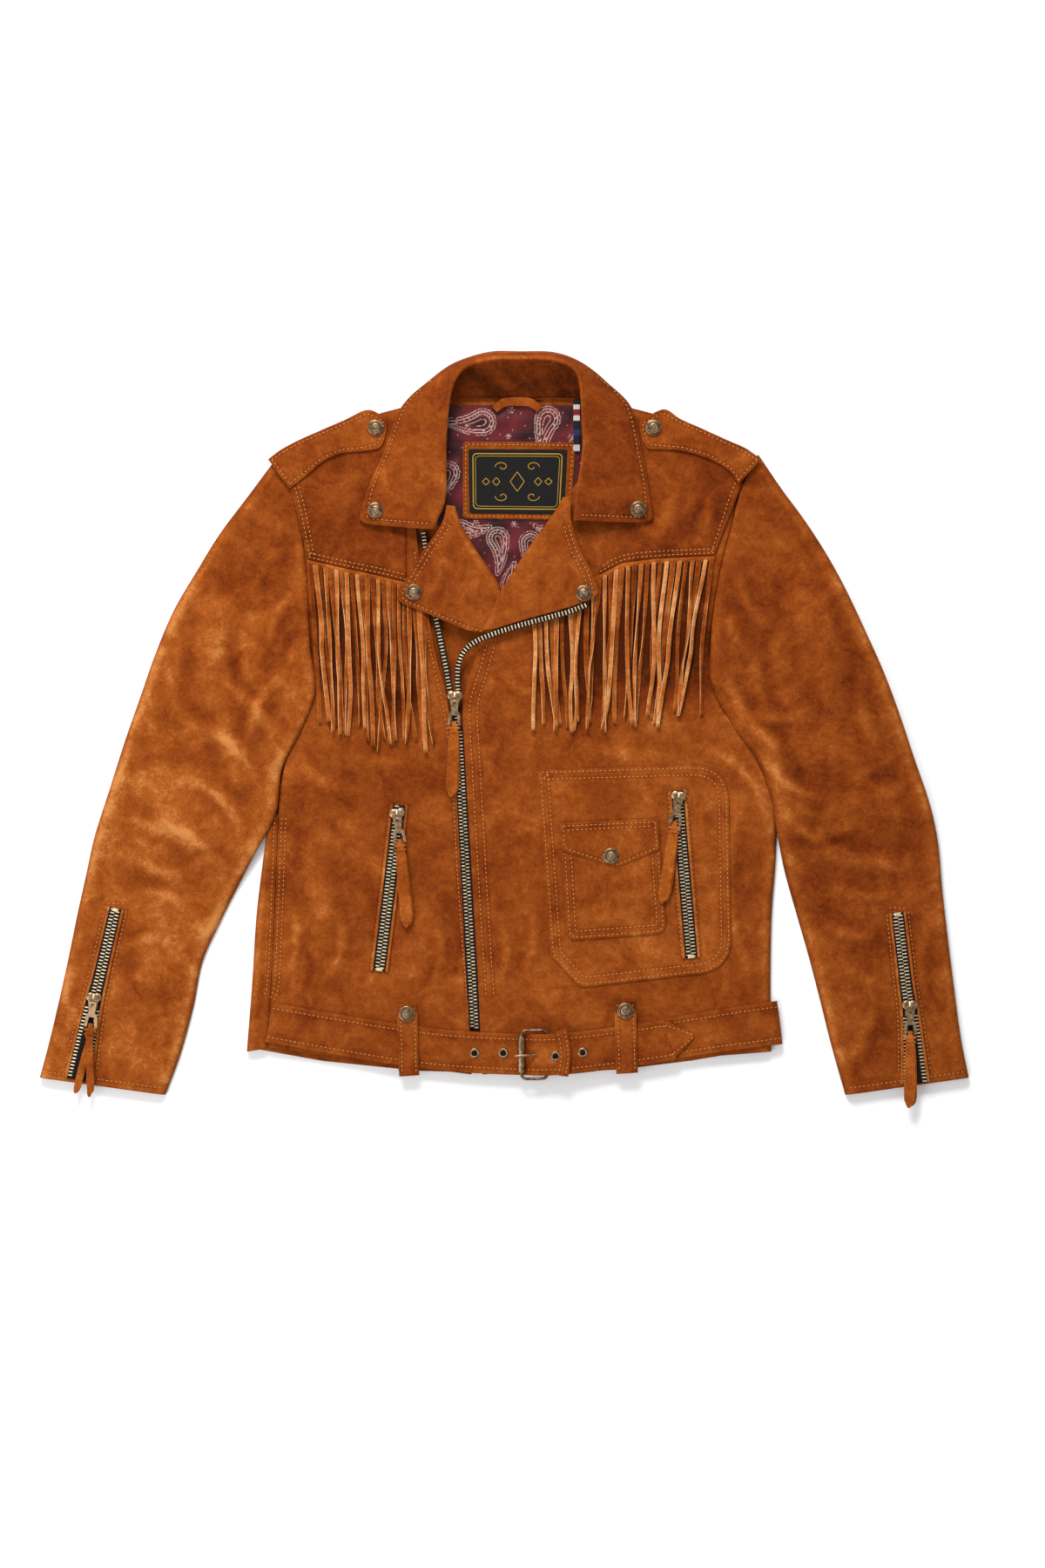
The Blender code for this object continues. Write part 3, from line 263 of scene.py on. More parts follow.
def smoothed(rows, parts):
    # the rows with more between each two, every column on a smooth curve
    table = np.array(rows, float)
    last = len(table) - 1
    made = []
    for i in range(last):
        a, b, c, d = table[max(0, i - 1)], table[i], table[i + 1], table[min(last, i + 2)]
        for k in range(parts):
            t = k / parts
            made.append(0.5 * (2 * b + (c - a) * t + (2 * a - 5 * b + 4 * c - d) * t**2
                               + (3 * b - a - 3 * c + d) * t**3))
    made.append(table[last])
    return made


def waves(x, y, seed, size):
    # a smooth random surface between about -1 and 1, with hills about size across
    chance = random.Random(seed)
    total = 0
    for k in range(7):
        turn, phase = chance.uniform(0, math.tau), chance.uniform(0, math.tau)
        wave = math.tau / (size * chance.uniform(0.7, 1.6) * 2)
        total = total + np.sin(wave * (x * math.cos(turn) + y * math.sin(turn)) + phase)
    return total / 3.2


def lift(folds, x, y):
    # how high the folds raise the cloth; the narrow ones are bowed
    total = np.zeros_like(x, dtype=float)
    for c in folds:
        alongX, alongY = c.x1 - c.x0, c.y1 - c.y0
        length = math.hypot(alongX, alongY)
        share = ((x - c.x0) * alongX + (y - c.y0) * alongY) / length**2
        swell = np.sin(math.pi * np.clip(share, 0, 1))
        bend = 0.12 * length * swell * (1 if (c.x0 + c.y0) % 2 else -1)
        off = np.abs(((x - c.x0) * alongY - (y - c.y0) * alongX) / length + bend * (c.halfWidth < 13))
        inside = (share > 0) & (share < 1) & (off < c.halfWidth)
        shape = swell * np.cos(math.pi / 2 * np.clip(off / c.halfWidth, 0, 1)) ** 2
        total += np.where(inside, c.height * shape, 0)
    return total


def creases(*lines):
    return tuple(Crease(*line) for line in lines)


# the solids' own folds, and the finer creases that the cloth has between them
bodyFolds = creases((-182, -34, -156, -236, 2.6, 20), (226, -44, 230, -236, 2.0, 9))
bodyCreases = creases(
    (-196, -26, -120, -58, 1.5, 10), (-188, -60, -140, -96, -1.2, 9), (-150, -20, -80, -24, 1.1, 9),
    (-168, -238, -150, -160, 1.4, 8), (-130, -246, -126, -190, 1.2, 7), (-70, -246, -64, -176, 1.3, 8),
    (-52, -244, -50, -160, -1.0, 6), (-208, -246, -198, -150, 1.2, 7), (-186, -246, -182, -196, -1.1, 6),
    (-10, -246, -4, -168, 1.3, 8), (12, -238, 22, -150, 1.1, 7), (-22, 20, 6, -60, 1.0, 9),
    (60, -246, 66, -242, 0.8, 6), (150, -246, 158, -226, 1.2, 7), (196, -250, 204, -214, 1.1, 7),
    (232, -60, 176, -14, 1.6, 9), (240, -90, 214, -30, 1.3, 8), (226, -2, 188, 12, 1.4, 8),
    (60, -6, 150, -18, 1.0, 9), (-8, 60, 40, 30, 0.9, 8),
)
yokeFolds = creases(
    (198, 226, 176, 168, 2.6, 14), (170, 222, 134, 168, 2.4, 16), (-130, 250, -158, 176, 1.8, 18),
)
yokeCreases = creases(
    (212, 236, 196, 176, -1.2, 8), (186, 240, 158, 176, -1.2, 8), (120, 200, 150, 172, 0.9, 8),
    (-190, 232, -178, 180, 1.2, 8), (-160, 262, -176, 200, -1.0, 8), (-104, 216, -98, 160, 0.8, 7),
)
sleeveFolds = creases(
    (-262, 140, -272, 10, 5.0, 26), (-268, 40, -238, -60, 4.0, 22), (-330, -60, -250, -140, 3.0, 20),
    (-370, -108, -292, -140, 2.2, 13), (228, 20, 272, -90, 5.0, 20), (262, 150, 322, -10, 3.5, 28),
    (278, -112, 378, -128, 2.4, 14),
)
sleeveCreases = creases(
    (-196, 60, -236, -30, 2.4, 11), (-210, -14, -262, 44, 1.8, 10), (-222, -50, -292, 6, 2.0, 10),
    (-246, 108, -226, 16, -1.8, 11), (-290, 96, -300, 10, 1.4, 12), (-238, -96, -304, -40, 1.9, 9),
    (-262, -122, -340, -84, 1.8, 9), (-252, -112, -300, -128, -1.4, 7), (-350, -70, -290, -100, 1.5, 9),
    (-290, -168, -346, -148, 1.4, 8), (-304, -196, -350, -200, 1.2, 8), (-318, -240, -352, -226, 1.0, 8),
    (-400, -196, -384, -286, 1.1, 8), (-316, -306, -330, -236, 1.2, 8), (-214, 226, -246, 150, 1.5, 10),
    (-196, 172, -232, 120, 1.6, 9), (-188, 130, -216, 70, 1.7, 9), (-184, 96, -204, 58, -1.5, 7),
    (202, 60, 262, -24, 2.6, 11), (216, 20, 284, 16, 1.8, 9), (238, -24, 300, -66, 2.2, 10),
    (250, -66, 318, -112, 1.9, 9), (262, -100, 330, -94, -1.6, 8), (244, 96, 258, 10, -1.8, 11),
    (214, 150, 246, 92, 1.6, 9), (206, 112, 232, 62, 1.7, 9), (232, 222, 262, 160, 1.4, 10),
    (296, -140, 366, -150, 1.6, 8), (290, -176, 350, -188, 1.4, 8), (308, -212, 352, -236, 1.2, 8),
    (318, -300, 340, -226, 1.2, 8), (392, -170, 396, -262, 1.1, 8), (330, 60, 352, -30, 1.5, 11),
    (296, 130, 318, 60, 1.2, 11),
)


# the cloth's small random ripples, in millimetres
rippleHigh, rippleWide = 0.28, 38


def onCloth(x, y):
    # how far the body's cloth, and all that lies on it, is lifted at a point
    x, y = np.asarray(x, float), np.asarray(y, float)
    return lift(bodyFolds + bodyCreases, x, y) + rippleHigh * waves(x, y, 3, rippleWide)


def noHill(x, y):
    return np.zeros_like(np.asarray(x, float))


def normalsOf(grid):
    across, along = np.gradient(grid, axis=1), np.gradient(grid, axis=0)
    out = np.cross(across, along)
    out /= np.maximum(np.linalg.norm(out, axis=2, keepdims=True), 1e-9)
    return out * (1 if out[..., 2].sum() >= 0 else -1)


def makePiece(name, finish, points, faces, values=None, smooth=True, attribute="wearAndShade"):
    # points are in millimetres; values go on the points, for the material
    mesh = bpy.data.meshes.new(name)
    mesh.from_pydata((np.asarray(points, float) * mm).tolist(), [], faces)
    if values is not None:
        layer = mesh.attributes.new(attribute, "FLOAT_COLOR", "POINT")
        flat = np.ones((len(points), 4), np.float32)
        flat[:, :3] = np.asarray(values, np.float32).reshape(-1, 1)
        layer.data.foreach_set("color", flat.ravel())
    work = bmesh.new()
    work.from_mesh(mesh)
    bmesh.ops.recalc_face_normals(work, faces=work.faces)
    work.to_mesh(mesh)
    work.free()
    mesh.materials.append(finish)
    mesh.polygons.foreach_set("use_smooth", [smooth] * len(mesh.polygons))
    made = bpy.data.objects.new(name, mesh)
    bpy.context.scene.collection.objects.link(made)
    return made


def camel(where):
    return where.title().replace("_", "")


def settle(piece, body, slotName, *nodes):
    # the piece moves with its body and stands for its solids
    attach(piece, body)
    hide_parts(*nodes)
    return piece


def asSuede(piece, node):
    return settle(piece, cloth, "suede", node)


def asBrass(piece, node):
    return settle(piece, cloth, "antique_brass", node)


def sheetFaces(rows, columns, behind):
    # faces of a closed sheet whose outer points come first, then its inner points
    faces = []
    for i in range(rows - 1):
        a = np.arange(columns - 1) + i * columns
        quads = np.stack([a, a + 1, a + 1 + columns, a + columns], 1)
        faces += quads.tolist()
        faces += (quads[:, ::-1] + behind).tolist()
    rim = [(0, j) for j in range(columns)] + [(i, columns - 1) for i in range(1, rows)]
    rim += [(rows - 1, j) for j in range(columns - 2, -1, -1)] + [(i, 0) for i in range(rows - 2, 0, -1)]
    rim = [i * columns + j for i, j in rim]
    faces += [(b, a, behind + a, behind + b) for a, b in zip(rim, rim[1:] + rim[:1])]
    return faces


# how light the under sides are, which hardly show
shadeBelow = 0.35


def foldLightAndShade(grid, reach=5, gain=0.14):
    # painted light and shade: lighter where the cloth stands proud of what is round it, darker in its hollows
    z = grid[..., 2]
    blurred = z.copy()
    for axis in (0, 1):
        padded = np.pad(blurred, [(reach, reach) if k == axis else (0, 0) for k in (0, 1)], mode="edge")
        window = [np.take(padded, range(k, k + z.shape[axis]), axis=axis) for k in range(2 * reach + 1)]
        blurred = np.mean(window, axis=0)
    return np.clip(0.5 + gain * (z - blurred), 0.06, 0.94)


def clothSheet(name, grid, thick, finish=None, values=None, inner=None, shade=0.0):
    rows, columns = grid.shape[:2]
    under = grid - normalsOf(grid) * thick if inner is None else inner
    points = np.concatenate([grid.reshape(-1, 3), under.reshape(-1, 3)])
    wearAndShade = (foldLightAndShade(grid) if values is None else values) + shade
    both = np.concatenate([wearAndShade.ravel(), np.full(wearAndShade.size, shadeBelow)])
    return makePiece(name, finish or suede, points, sheetFaces(rows, columns, rows * columns), both)


# how wide a side rolls over, at most and as a share of the panel, how far a seam's dip reaches, and the
# columns over which the folds fade out where a side comes down by more than low
panelLook = {"roll": 7.0, "rollShare": 0.3, "dipReach": 5.0, "fade": 5.0, "low": 1.5,
             "turns": (0, 12, 25, 38, 52, 68, 90)}


def panelGrid(rows, hill, cell, seamDip):
    # the same sections as the solid's, drawn finer, with rolled sides and dips along the seams
    coarse = np.array(smoothed(rows, 2))
    middle = (coarse[:, 0:2] + coarse[:, 2:4]) / 2
    long = np.linalg.norm(np.diff(middle, axis=0), axis=1).sum()
    parts = max(2, round(long / cell / (len(rows) - 1)))
    fine = np.array(smoothed(rows, parts))
    widths = np.linalg.norm(fine[:, 2:4] - fine[:, 0:2], axis=1)
    inner = max(3, round(widths.max() / cell))
    turns = np.radians(panelLook["turns"])
    grid = np.zeros((len(fine), 2 * len(turns) + inner, 3))
    for i, row in enumerate(fine):
        width = widths[i]
        radius = min(panelLook["roll"], panelLook["rollShare"] * width)
        edge = radius * (1 - np.cos(turns))
        flat = radius + (width - 2 * radius) * np.arange(1, inner + 1) / (inner + 1)
        distance = np.concatenate([edge, flat, width - edge[::-1]])
        z = np.full(len(distance), row[4])
        z[:len(turns)] = row[5] + (row[4] - row[5]) * np.sin(turns)
        z[-len(turns):] = (row[6] + (row[4] - row[6]) * np.sin(turns))[::-1]
        for dip, off in ((seamDip[0], distance), (seamDip[1], width - distance)):
            z -= dip * np.clip(1 - off / panelLook["dipReach"], 0, 1) ** 2
        share = (distance / width)[:, None]
        grid[i, :, 0:2] = row[0:2] * (1 - share) + row[2:4] * share
        grid[i, :, 2] = z
    fromSide = np.arange(grid.shape[1])
    fade = np.minimum(1, np.minimum(fromSide, fromSide[::-1]) / panelLook["fade"])[None, :]
    rolled = (fine[:, 5:7] < fine[:, 4:5] - panelLook["low"]).any(axis=1)[:, None]
    grid[..., 2] += hill(grid[..., 0], grid[..., 1]) * np.where(rolled, fade, 1.0)
    return grid


def level(ends, top, leftRest=None, rightRest=None):
    # sections of one height, from their ends; a side's rest is how low that side comes
    return [Row(*end, top, top if leftRest is None else leftRest, top if rightRest is None else rightRest)
            for end in ends]


print("body")

armholeLeft = ((-176, 34), (-178, 74), (-180, 114), (-182, 150), (-187, 190), (-192, 222))
armholeRight = ((194, 34), (189, 74), (192, 110), (198, 146), (207, 182), (216, 220))
frontLeft = level([
    (-218, -292, -30, -317), (-214, -232, -33, -240), (-211, -170, -37, -170), (-209, -114, -41, -100),
    (-205, -50, -45, -30), (-194, 0, -53, 30),
    *((x, y, innerX, innerY) for (x, y), (innerX, innerY) in zip(
        armholeLeft, ((-61, 60), (-68, 95), (-74, 130), (-79, 165), (-83, 205), (-86, 248)))),
    (-201, 240, -90, 286),
], frontTop)
frontRight = level([
    (-20, -317, 246, -296), (-24, -240, 245, -236), (-28, -170, 246, -172), (-32, -100, 250, -114),
    (-36, -30, 249, -62), (-38, 25, 228, -8),
], frontTop, frontTop, seamRest) + level([
    *((innerX, innerY, x, y) for (x, y), (innerX, innerY) in zip(
        armholeRight, ((-28, 62), (-16, 98), (-2, 129), (20, 158), (42, 190), (66, 226)))),
    (110, 286, 227, 243),
], frontTop)
sidePanel = level([
    (-237, -296, -218.5, -293), (-232, -232, -214.5, -232), (-228, -170, -211.5, -170),
    (-221, -112, -209.5, -114),
], frontTop, seamRest, frontTop) + level([(-216.5, -80, -208.2, -78)], frontTop)


fringes = {
    "left": {
        "seam": ((-181, 157), (-144, 148.5), (-118, 143), (-90, 136), (-72, 127)),
        "tips": ((-170, 2), (-140, 0), (-110, -14), (-70, -20)), "count": 23, "seed": 5, "shade": -0.05,
    },
    "right": {
        "seam": ((194, 160.5), (140, 158), (109, 154), (86, 142), (52, 129), (24, 117)),
        "tips": ((174, 12), (140, 8), (90, 2), (28, -2)), "count": 30, "seed": 11, "shade": 0.03,
    },
}


def paintedFringeShadow(grid):
    # painted shadow: the cloth is darker where the fringe keeps the light off
    x, y = grid[..., 0], grid[..., 1]
    dark = np.zeros_like(x)
    for form in fringes.values():
        seamXs, seamYs = np.array(sorted(form["seam"]), float).T
        tipXs, tipYs = np.array(sorted(form["tips"]), float).T
        share = np.clip((y - np.interp(x, tipXs, tipYs) - 6) / 50, 0, 1)
        share = share * np.clip((np.interp(x, seamXs, seamYs) - 3 - y) / 4, 0, 1)
        share = share * np.clip((x - seamXs[0]) / 8, 0, 1) * np.clip((seamXs[-1] - x) / 8, 0, 1)
        dark = np.maximum(dark, share)
    return -0.42 * dark


def shell(name, node, rows, hill, cell, seamDip, thick=hide, shade=0.0):
    # shade is a number, or a function of the grid
    grid = panelGrid(rows, hill, cell, seamDip)
    tint = shade(grid) if callable(shade) else shade
    return asSuede(clothSheet(name + "Shell", grid, thick, shade=tint), node)


frontLeftPiece = shell("frontLeft", "front_left", frontLeft, onCloth, 2.8, (1.3, 0.5), shade=paintedFringeShadow)
frontRightPiece = shell("frontRight", "front_right", frontRight, onCloth, 2.8, (0.5, 1.2), shade=paintedFringeShadow)
sidePanelPiece = shell("sidePanel", "side_panel_left", sidePanel, onCloth, 2.8, (0.0, 1.3), shade=paintedFringeShadow)

hem = ((-234, -293), (-167, -305), (-80, -314), (17, -317), (105, -313), (170, -305), (243, -293))
sideLeft = ((-210, -40), (-212, -82), (-218, -108), (-222, -146), (-225, -178), (-229, -226))
sideRight = ((243, -236), (243, -172), (247, -114), (246, -64), (228, -14))


def curveThrough(points, parts):
    return [tuple(p) for p in smoothed(points, parts)]


def spread(points, spacing, closed=False):
    # points at even spacing along a line
    line = np.array(list(points) + ([points[0]] if closed else []), float)
    steps = np.concatenate([[0], np.cumsum(np.linalg.norm(np.diff(line, axis=0), axis=1))])
    count = max(2, round(steps[-1] / spacing))
    at = np.linspace(0, steps[-1], count + 1)
    at = at[:-1] if closed else at
    return np.stack([np.interp(at, steps, line[:, k]) for k in range(line.shape[1])], 1)


def leftOf(line, closed=False):
    # unit directions to the left of a line, as one walks along it
    ahead = np.roll(line, -1, axis=0) - np.roll(line, 1, axis=0) if closed else np.gradient(line, axis=0)
    ahead /= np.maximum(np.linalg.norm(ahead, axis=1, keepdims=True), 1e-6)
    return np.column_stack([-ahead[:, 1], ahead[:, 0]])


def rounded(corners, radius, parts=5):
    # an outline with round corners; a corner may hold its own radius
    made = []
    for i, corner in enumerate(corners):
        here = Vector(corner[:2])
        before = Vector(corners[i - 1][:2]) - here
        after = Vector(corners[(i + 1) % len(corners)][:2]) - here
        own = corner[2] if len(corner) > 2 else radius
        cut = min(own, 0.45 * before.length, 0.45 * after.length)
        start, end = here + before.normalized() * cut, here + after.normalized() * cut
        for k in range(parts + 1):
            t = k / parts
            made.append(tuple(start * (1 - t) ** 2 + here * 2 * t * (1 - t) + end * t**2))
    return made


def paddedPatch(name, outline, low, high, finish=None, edge=1.6, spacing=3.0, hill=onCloth, crown=0.0,
                shade=0.0, lowerPaintedLight=0.0):
    # a flat piece of cloth with a soft edge, in rings from its outline to its middle
    rim = spread(outline, spacing, closed=True)
    centre = rim.mean(axis=0)
    reach = np.linalg.norm(rim - centre, axis=1)
    rings = max(4, round(reach.mean() / spacing))
    form = [(1 - depth * edge / reach, high - edge * 0.5 * (1 - depth) ** 2)
            for depth in (0.0, 0.25, 0.6, 1.0)]
    form += [((1 - edge / reach) * (1 - k / rings), high + crown * math.sin(math.pi / 2 * k / rings))
             for k in range(1, rings)]
    grid = np.array([np.column_stack([centre + (rim - centre) * scale[:, None], np.full(len(rim), z)])
                     for scale, z in form])
    grid[..., 2] += hill(grid[..., 0], grid[..., 1])
    top = np.concatenate([grid.reshape(-1, 3), [[*centre, high + crown]]])
    top[-1, 2] += float(hill(centre[0], centre[1]))
    bottom = top.copy()
    bottom[:, 2] = low + hill(top[:, 0], top[:, 1])
    count, many, behind = len(rim), len(grid), len(top)
    faces = []
    a = np.arange(count)
    b = (a + 1) % count
    for i in range(many - 1):
        quads = np.stack([a + i * count, b + i * count, b + (i + 1) * count, a + (i + 1) * count], 1)
        faces += quads.tolist() + (quads[:, ::-1] + behind).tolist()
    last = (many - 1) * count
    for a in range(count):
        b = (a + 1) % count
        faces.append((last + a, last + b, len(top) - 1))
        faces.append((behind + last + b, behind + last + a, behind + len(top) - 1))
        faces.append((b, a, behind + a, behind + b))
    # lighter along its rim and, as painted light, in its lower part
    ring = np.minimum(np.arange(len(top)) // count, many)
    wearAndShade = 0.5 + shade + 0.06 * np.clip(1 - (ring - 3) / 2.5, 0, 1)
    wearAndShade = wearAndShade + lowerPaintedLight * np.clip((top[:, 1].min() + 70 - top[:, 1]) / 60, 0, 1)
    return makePiece(name, finish or suede, np.concatenate([top, bottom]), faces,
                     np.concatenate([wearAndShade, np.full(len(bottom), shadeBelow)]))


backOutline = list(hem) + list(sideRight) + [(x + 2, y) for x, y in armholeRight] + [(234, 247)]
backOutline += [(110, 299), (66, 308), (14, 309), (-38, 308), (-89, 299), (-204, 246)]
backOutline += [(x - 2, y) for x, y in reversed(armholeLeft)] + [(-193, 0)] + list(sideLeft)
settle(paddedPatch("backShell", backOutline, 0.0, layers["backTop"], edge=0.8, spacing=6.0, hill=noHill),
       cloth, "suede", "back_panel")

print("sleeves")

sleeveLeft = [
    *level([(-209, 251, -192.5, 222), (-235, 216, -187.5, 190), (-262, 180, -182.5, 150)],
           sleeveTop, seamRest, sleeveTop),
    *level([(-283, 146, -180.5, 114)], sleeveTop + 1, seamRest, sleeveTop + 1),
    *level([(-304, 110, -178.5, 74)], overBody, seamRest, overBody - 0.3),
    *level([(-321, 70, -173, 36), (-335, 30, -187, -2), (-349, -10, -204, -36), (-363, -54, -210, -78)],
           overBody, seamRest, onBody),
    *level([(-377, -98, -228, -112)], overBody - 1, seamRest, onBody),
    *level([(-385, -134, -246, -146)], sleeveTop + 0.3, seamRest, seamRest),
    *level([(-393, -170, -262, -178), (-402, -214, -278, -214), (-410, -250, -286, -254),
            (-419, -288, -298, -298), (-427.5, -320, -312, -336)], sleeveTop, seamRest, seamRest),
]
sleeveRight = [
    *level([(216.5, 220, 234, 253), (207.5, 182, 255, 222), (198.5, 146, 277, 192)],
           sleeveTop, sleeveTop, seamRest),
    *level([(192.5, 110, 297, 161)], sleeveTop + 1, sleeveTop + 1, seamRest),
    *level([(189.5, 74, 314, 130)], overBody, overBody - 0.3, seamRest),
    *level([(191, 38, 332, 92), (211, 2, 349, 54), (231, -27, 364, 14), (244, -60, 378, -28),
            (250.5, -94, 391, -66)], overBody, onBody, seamRest),
    *level([(258, -130, 399, -102)], sleeveTop + 1, seamRest, seamRest),
    *level([(268, -166, 403, -146), (279, -204, 408, -190), (290, -246, 414, -238), (301, -290, 420, -282),
            (314, -336, 427.5, -320)], sleeveTop, seamRest, seamRest),
]


def onSleeve(x, y):
    x, y = np.asarray(x, float), np.asarray(y, float)
    return lift(sleeveFolds + sleeveCreases, x, y) + rippleHigh * waves(x, y, 8, rippleWide)


def paintedSleeveLight(*shades):
    # painted light: how much lighter or darker the sleeve is drawn at the cuff, the elbow and the shoulder
    return lambda grid: np.interp(grid[..., 1], (-300, -60, 150), shades)


sleeveLeftPiece = shell("sleeveLeft", "sleeve_left_upper", sleeveLeft, onSleeve, 2.8, (0.0, 1.4),
                        shade=paintedSleeveLight(0.12, 0.12, -0.02))
sleeveRightPiece = shell("sleeveRight", "sleeve_right_upper", sleeveRight, onSleeve, 2.8, (1.4, 0.0),
                         shade=paintedSleeveLight(-0.03, -0.05, -0.05))


def dressSolid(nodeName, finish, shade):
    # a solid that is shown as it is
    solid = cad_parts[nodeName]
    solid.data.materials.clear()
    solid.data.materials.append(finish)
    layer = solid.data.attributes.new("wearAndShade", "FLOAT_COLOR", "POINT")
    layer.data.foreach_set("color", [shade, shade, shade, 1.0] * len(solid.data.vertices))
    return solid


for side in ("left", "right"):
    # the under sleeves are flat, and are painted a little darker as shade under the upper sleeves
    dressSolid("sleeve_" + side + "_under", suede, 0.4)

print("yokes, lapels and epaulettes")


def onYoke(x, y):
    own = lift(yokeFolds + yokeCreases, np.asarray(x, float), np.asarray(y, float))
    return np.maximum(own, -0.1) + onCloth(x, y)


yokes = {
    "left": [
        *level([(-180.5, 157, -203, 248)], yokeTop + 0.5, yokeTop + 0.5, yokeTop),
        *level([(-163, 153, -180, 263), (-144, 148.5, -152, 276), (-118, 143, -121, 289),
                (-90, 136, -92, 297)], yokeTop, yokeTop, seamRest),
    ],
    "right": [
        *level([(87, 143, 113, 297), (109, 154, 143, 289), (140, 158, 177, 276), (168, 159.5, 206, 263)],
               yokeTop, yokeTop, seamRest),
        *level([(193, 160.5, 228, 250)], yokeTop + 0.5, yokeTop + 0.5, yokeTop),
    ],
}


# the yokes are drawn darker than the fronts: partly the suede's own tone, partly painted shade
yokeLeftPiece, yokeRightPiece = (
    shell("yoke" + side.title(), "yoke_" + side, rows, onYoke, 2.4, (0.5, 0.6), thin, -0.13)
    for side, rows in yokes.items()
)

lapelRest = lapelTop - 3.5
overRest = overLapelTop - 0.6
lapels = {
    "left": [
        *level([(-53, 206, -45.5, 205)], lapelTop),
        *level([(-56, 192, -41, 192)], lapelTop, lapelTop, lapelTop - 1),
        *level([(-63, 180, -33.5, 178), (-75, 163, -23, 161), (-87, 143, -11, 144), (-97, 125, -2, 128),
                (-95, 117, 4, 110), (-65, 104, 0, 97), (-34, 91, -10, 88)], lapelTop, lapelTop, lapelRest),
    ],
    "right": [
        *level([(54, 213, 61, 214), (47, 201, 61, 202)], overLapelTop),
        *level([(38, 188, 62, 189), (26, 172, 69, 166), (12, 151, 81, 142), (-2, 129, 85, 124),
                (-10, 112, 62, 113), (-16, 99, 20, 101)], overLapelTop, overRest, overLapelTop),
        *level([(-20, 91, -8, 92.4)], overLapelTop),
    ],
}


def onLapel(x, y):
    return onCloth(x, y) + 0.15 * waves(x, y, 21, 14)


lapelLeftPiece = shell("lapelLeft", "lapel_left", lapels["left"], onLapel, 2.2, (0.5, 0.5), thin)
# the right lapel is drawn lighter: partly the suede's own tone, partly painted light
lapelRightPiece = shell("lapelRight", "lapel_right", lapels["right"], onLapel, 2.2, (0.3, 0.6), thin, 0.08)

tabTop = yokeTop + gap + hide
epaulettes = {
    "left": [
        *level([(-217, 248, -197, 221)], tabTop + 0.5),
        *level([(-205, 257, -181, 234), (-188, 266, -165, 247), (-170, 274, -148, 254)], tabTop + 0.8),
        *level([(-147, 284, -128, 256)], tabTop + 0.5),
        *level([(-125, 293.5, -113, 260), (-108, 285, -107.5, 277)], tabTop + 0.2),
    ],
    "right": [
        *level([(215, 225, 236, 248)], tabTop + 0.5),
        *level([(206, 238, 222, 258), (187, 249, 204, 266), (163, 256, 180, 277)], tabTop + 0.8),
        *level([(145, 257.5, 162, 285)], tabTop + 0.5),
        *level([(131, 259, 146, 294), (124, 276, 125, 283)], tabTop + 0.2),
    ],
}


epauletteLeftPiece, epauletteRightPiece = (
    shell("epaulette" + side.title(), "epaulette_" + side, rows, onCloth, 2.0, (0.7, 0.7))
    for side, rows in epaulettes.items()
)

print("pockets")

pocketLook = {
    "patch": ((31, -37, 2), (43, -208, 5), (70, -237, 5), (209, -221, 30), (206, -32, 34)),
    "pouch": ((52, -90, 1), (58, -194, 9), (149, -187, 9), (142, -86, 1)),
    "flap": ((51, -86, 1), (53, -111, 3), (103, -127.5, 5), (143, -110, 3), (141, -82, 1)),
}


def onPatch(x, y):
    return onCloth(x, y) + 0.1 * waves(x, y, 31, 18)


frontAbove = frontTop + gap
patchOutline = rounded(pocketLook["patch"], 3, 9)
pouchOutline = rounded(pocketLook["pouch"], 3, 6)
flapOutline = rounded(pocketLook["flap"], 2, 6)
patchPiece = asSuede(paddedPatch("pocketPatchShell", patchOutline, frontAbove, patchTop, hill=onPatch,
                                 spacing=2.8, shade=0.03, lowerPaintedLight=0.08), "pocket_patch")
pouchPiece = asSuede(paddedPatch("pocketPouchShell", pouchOutline, patchTop + gap, pouchTop, hill=onPatch,
                                 spacing=2.2, crown=1.1, shade=0.05), "pocket_pouch")
flapPiece = asSuede(paddedPatch("pocketFlapShell", flapOutline, pouchTop + gap, flapTop, hill=onPatch,
                                spacing=2.0, crown=0.7), "pocket_flap")

print("belt")

Step = namedtuple("Step", "x y z width thick")


def stepsOf(thick, *places):
    # steps along a strap of one thickness, from x, y, z and width
    return [Step(*place, thick) for place in places]


def strapGrid(steps, cell=3.0, edge=0.7, hill=onCloth, sag=0.0):
    # the upper and the under side of a strap along a line of steps, with softened edges
    length = sum(math.dist(a[:2], b[:2]) for a, b in zip(steps, steps[1:]))
    fine = np.array(smoothed(steps, max(2, round(length / cell / (len(steps) - 1)))))
    ahead = np.gradient(fine[:, :3], axis=0)
    flat = ahead[:, :2] / np.maximum(np.linalg.norm(ahead[:, :2], axis=1, keepdims=True), 1e-6)
    side = np.column_stack([flat[:, 1], -flat[:, 0]])
    slope = ahead[:, 2] / np.maximum(np.linalg.norm(ahead[:, :2], axis=1), 1e-6)
    down = np.column_stack([-flat * slope[:, None], np.ones(len(fine))])
    down /= np.linalg.norm(down, axis=1, keepdims=True)
    shares = np.array([-1, -0.985, -0.93, -0.7, -0.35, 0, 0.35, 0.7, 0.93, 0.985, 1])
    drop = edge * np.array([1, 0.35, 0.06, 0, 0, 0, 0, 0, 0.06, 0.35, 1])
    top = np.zeros((len(fine), len(shares), 3))
    top[..., :2] = fine[:, None, :2] + side[:, None, :] * (shares[None, :, None] * fine[:, None, 3:4] / 2)
    top[..., 2] = fine[:, None, 2] - drop[None, :] - sag * (shares**2)[None, :]
    under = top - down[:, None, :] * fine[:, None, 4:5]
    under[..., 2] += 2 * drop[None, :] * 0.6
    raised = hill(top[..., 0], top[..., 1])
    top[..., 2] += raised
    under[..., 2] += raised
    return top, under


def strap(name, steps, finish=None, **form):
    top, under = strapGrid(steps, **form)
    return clothSheet(name, top, 0, finish, inner=under)


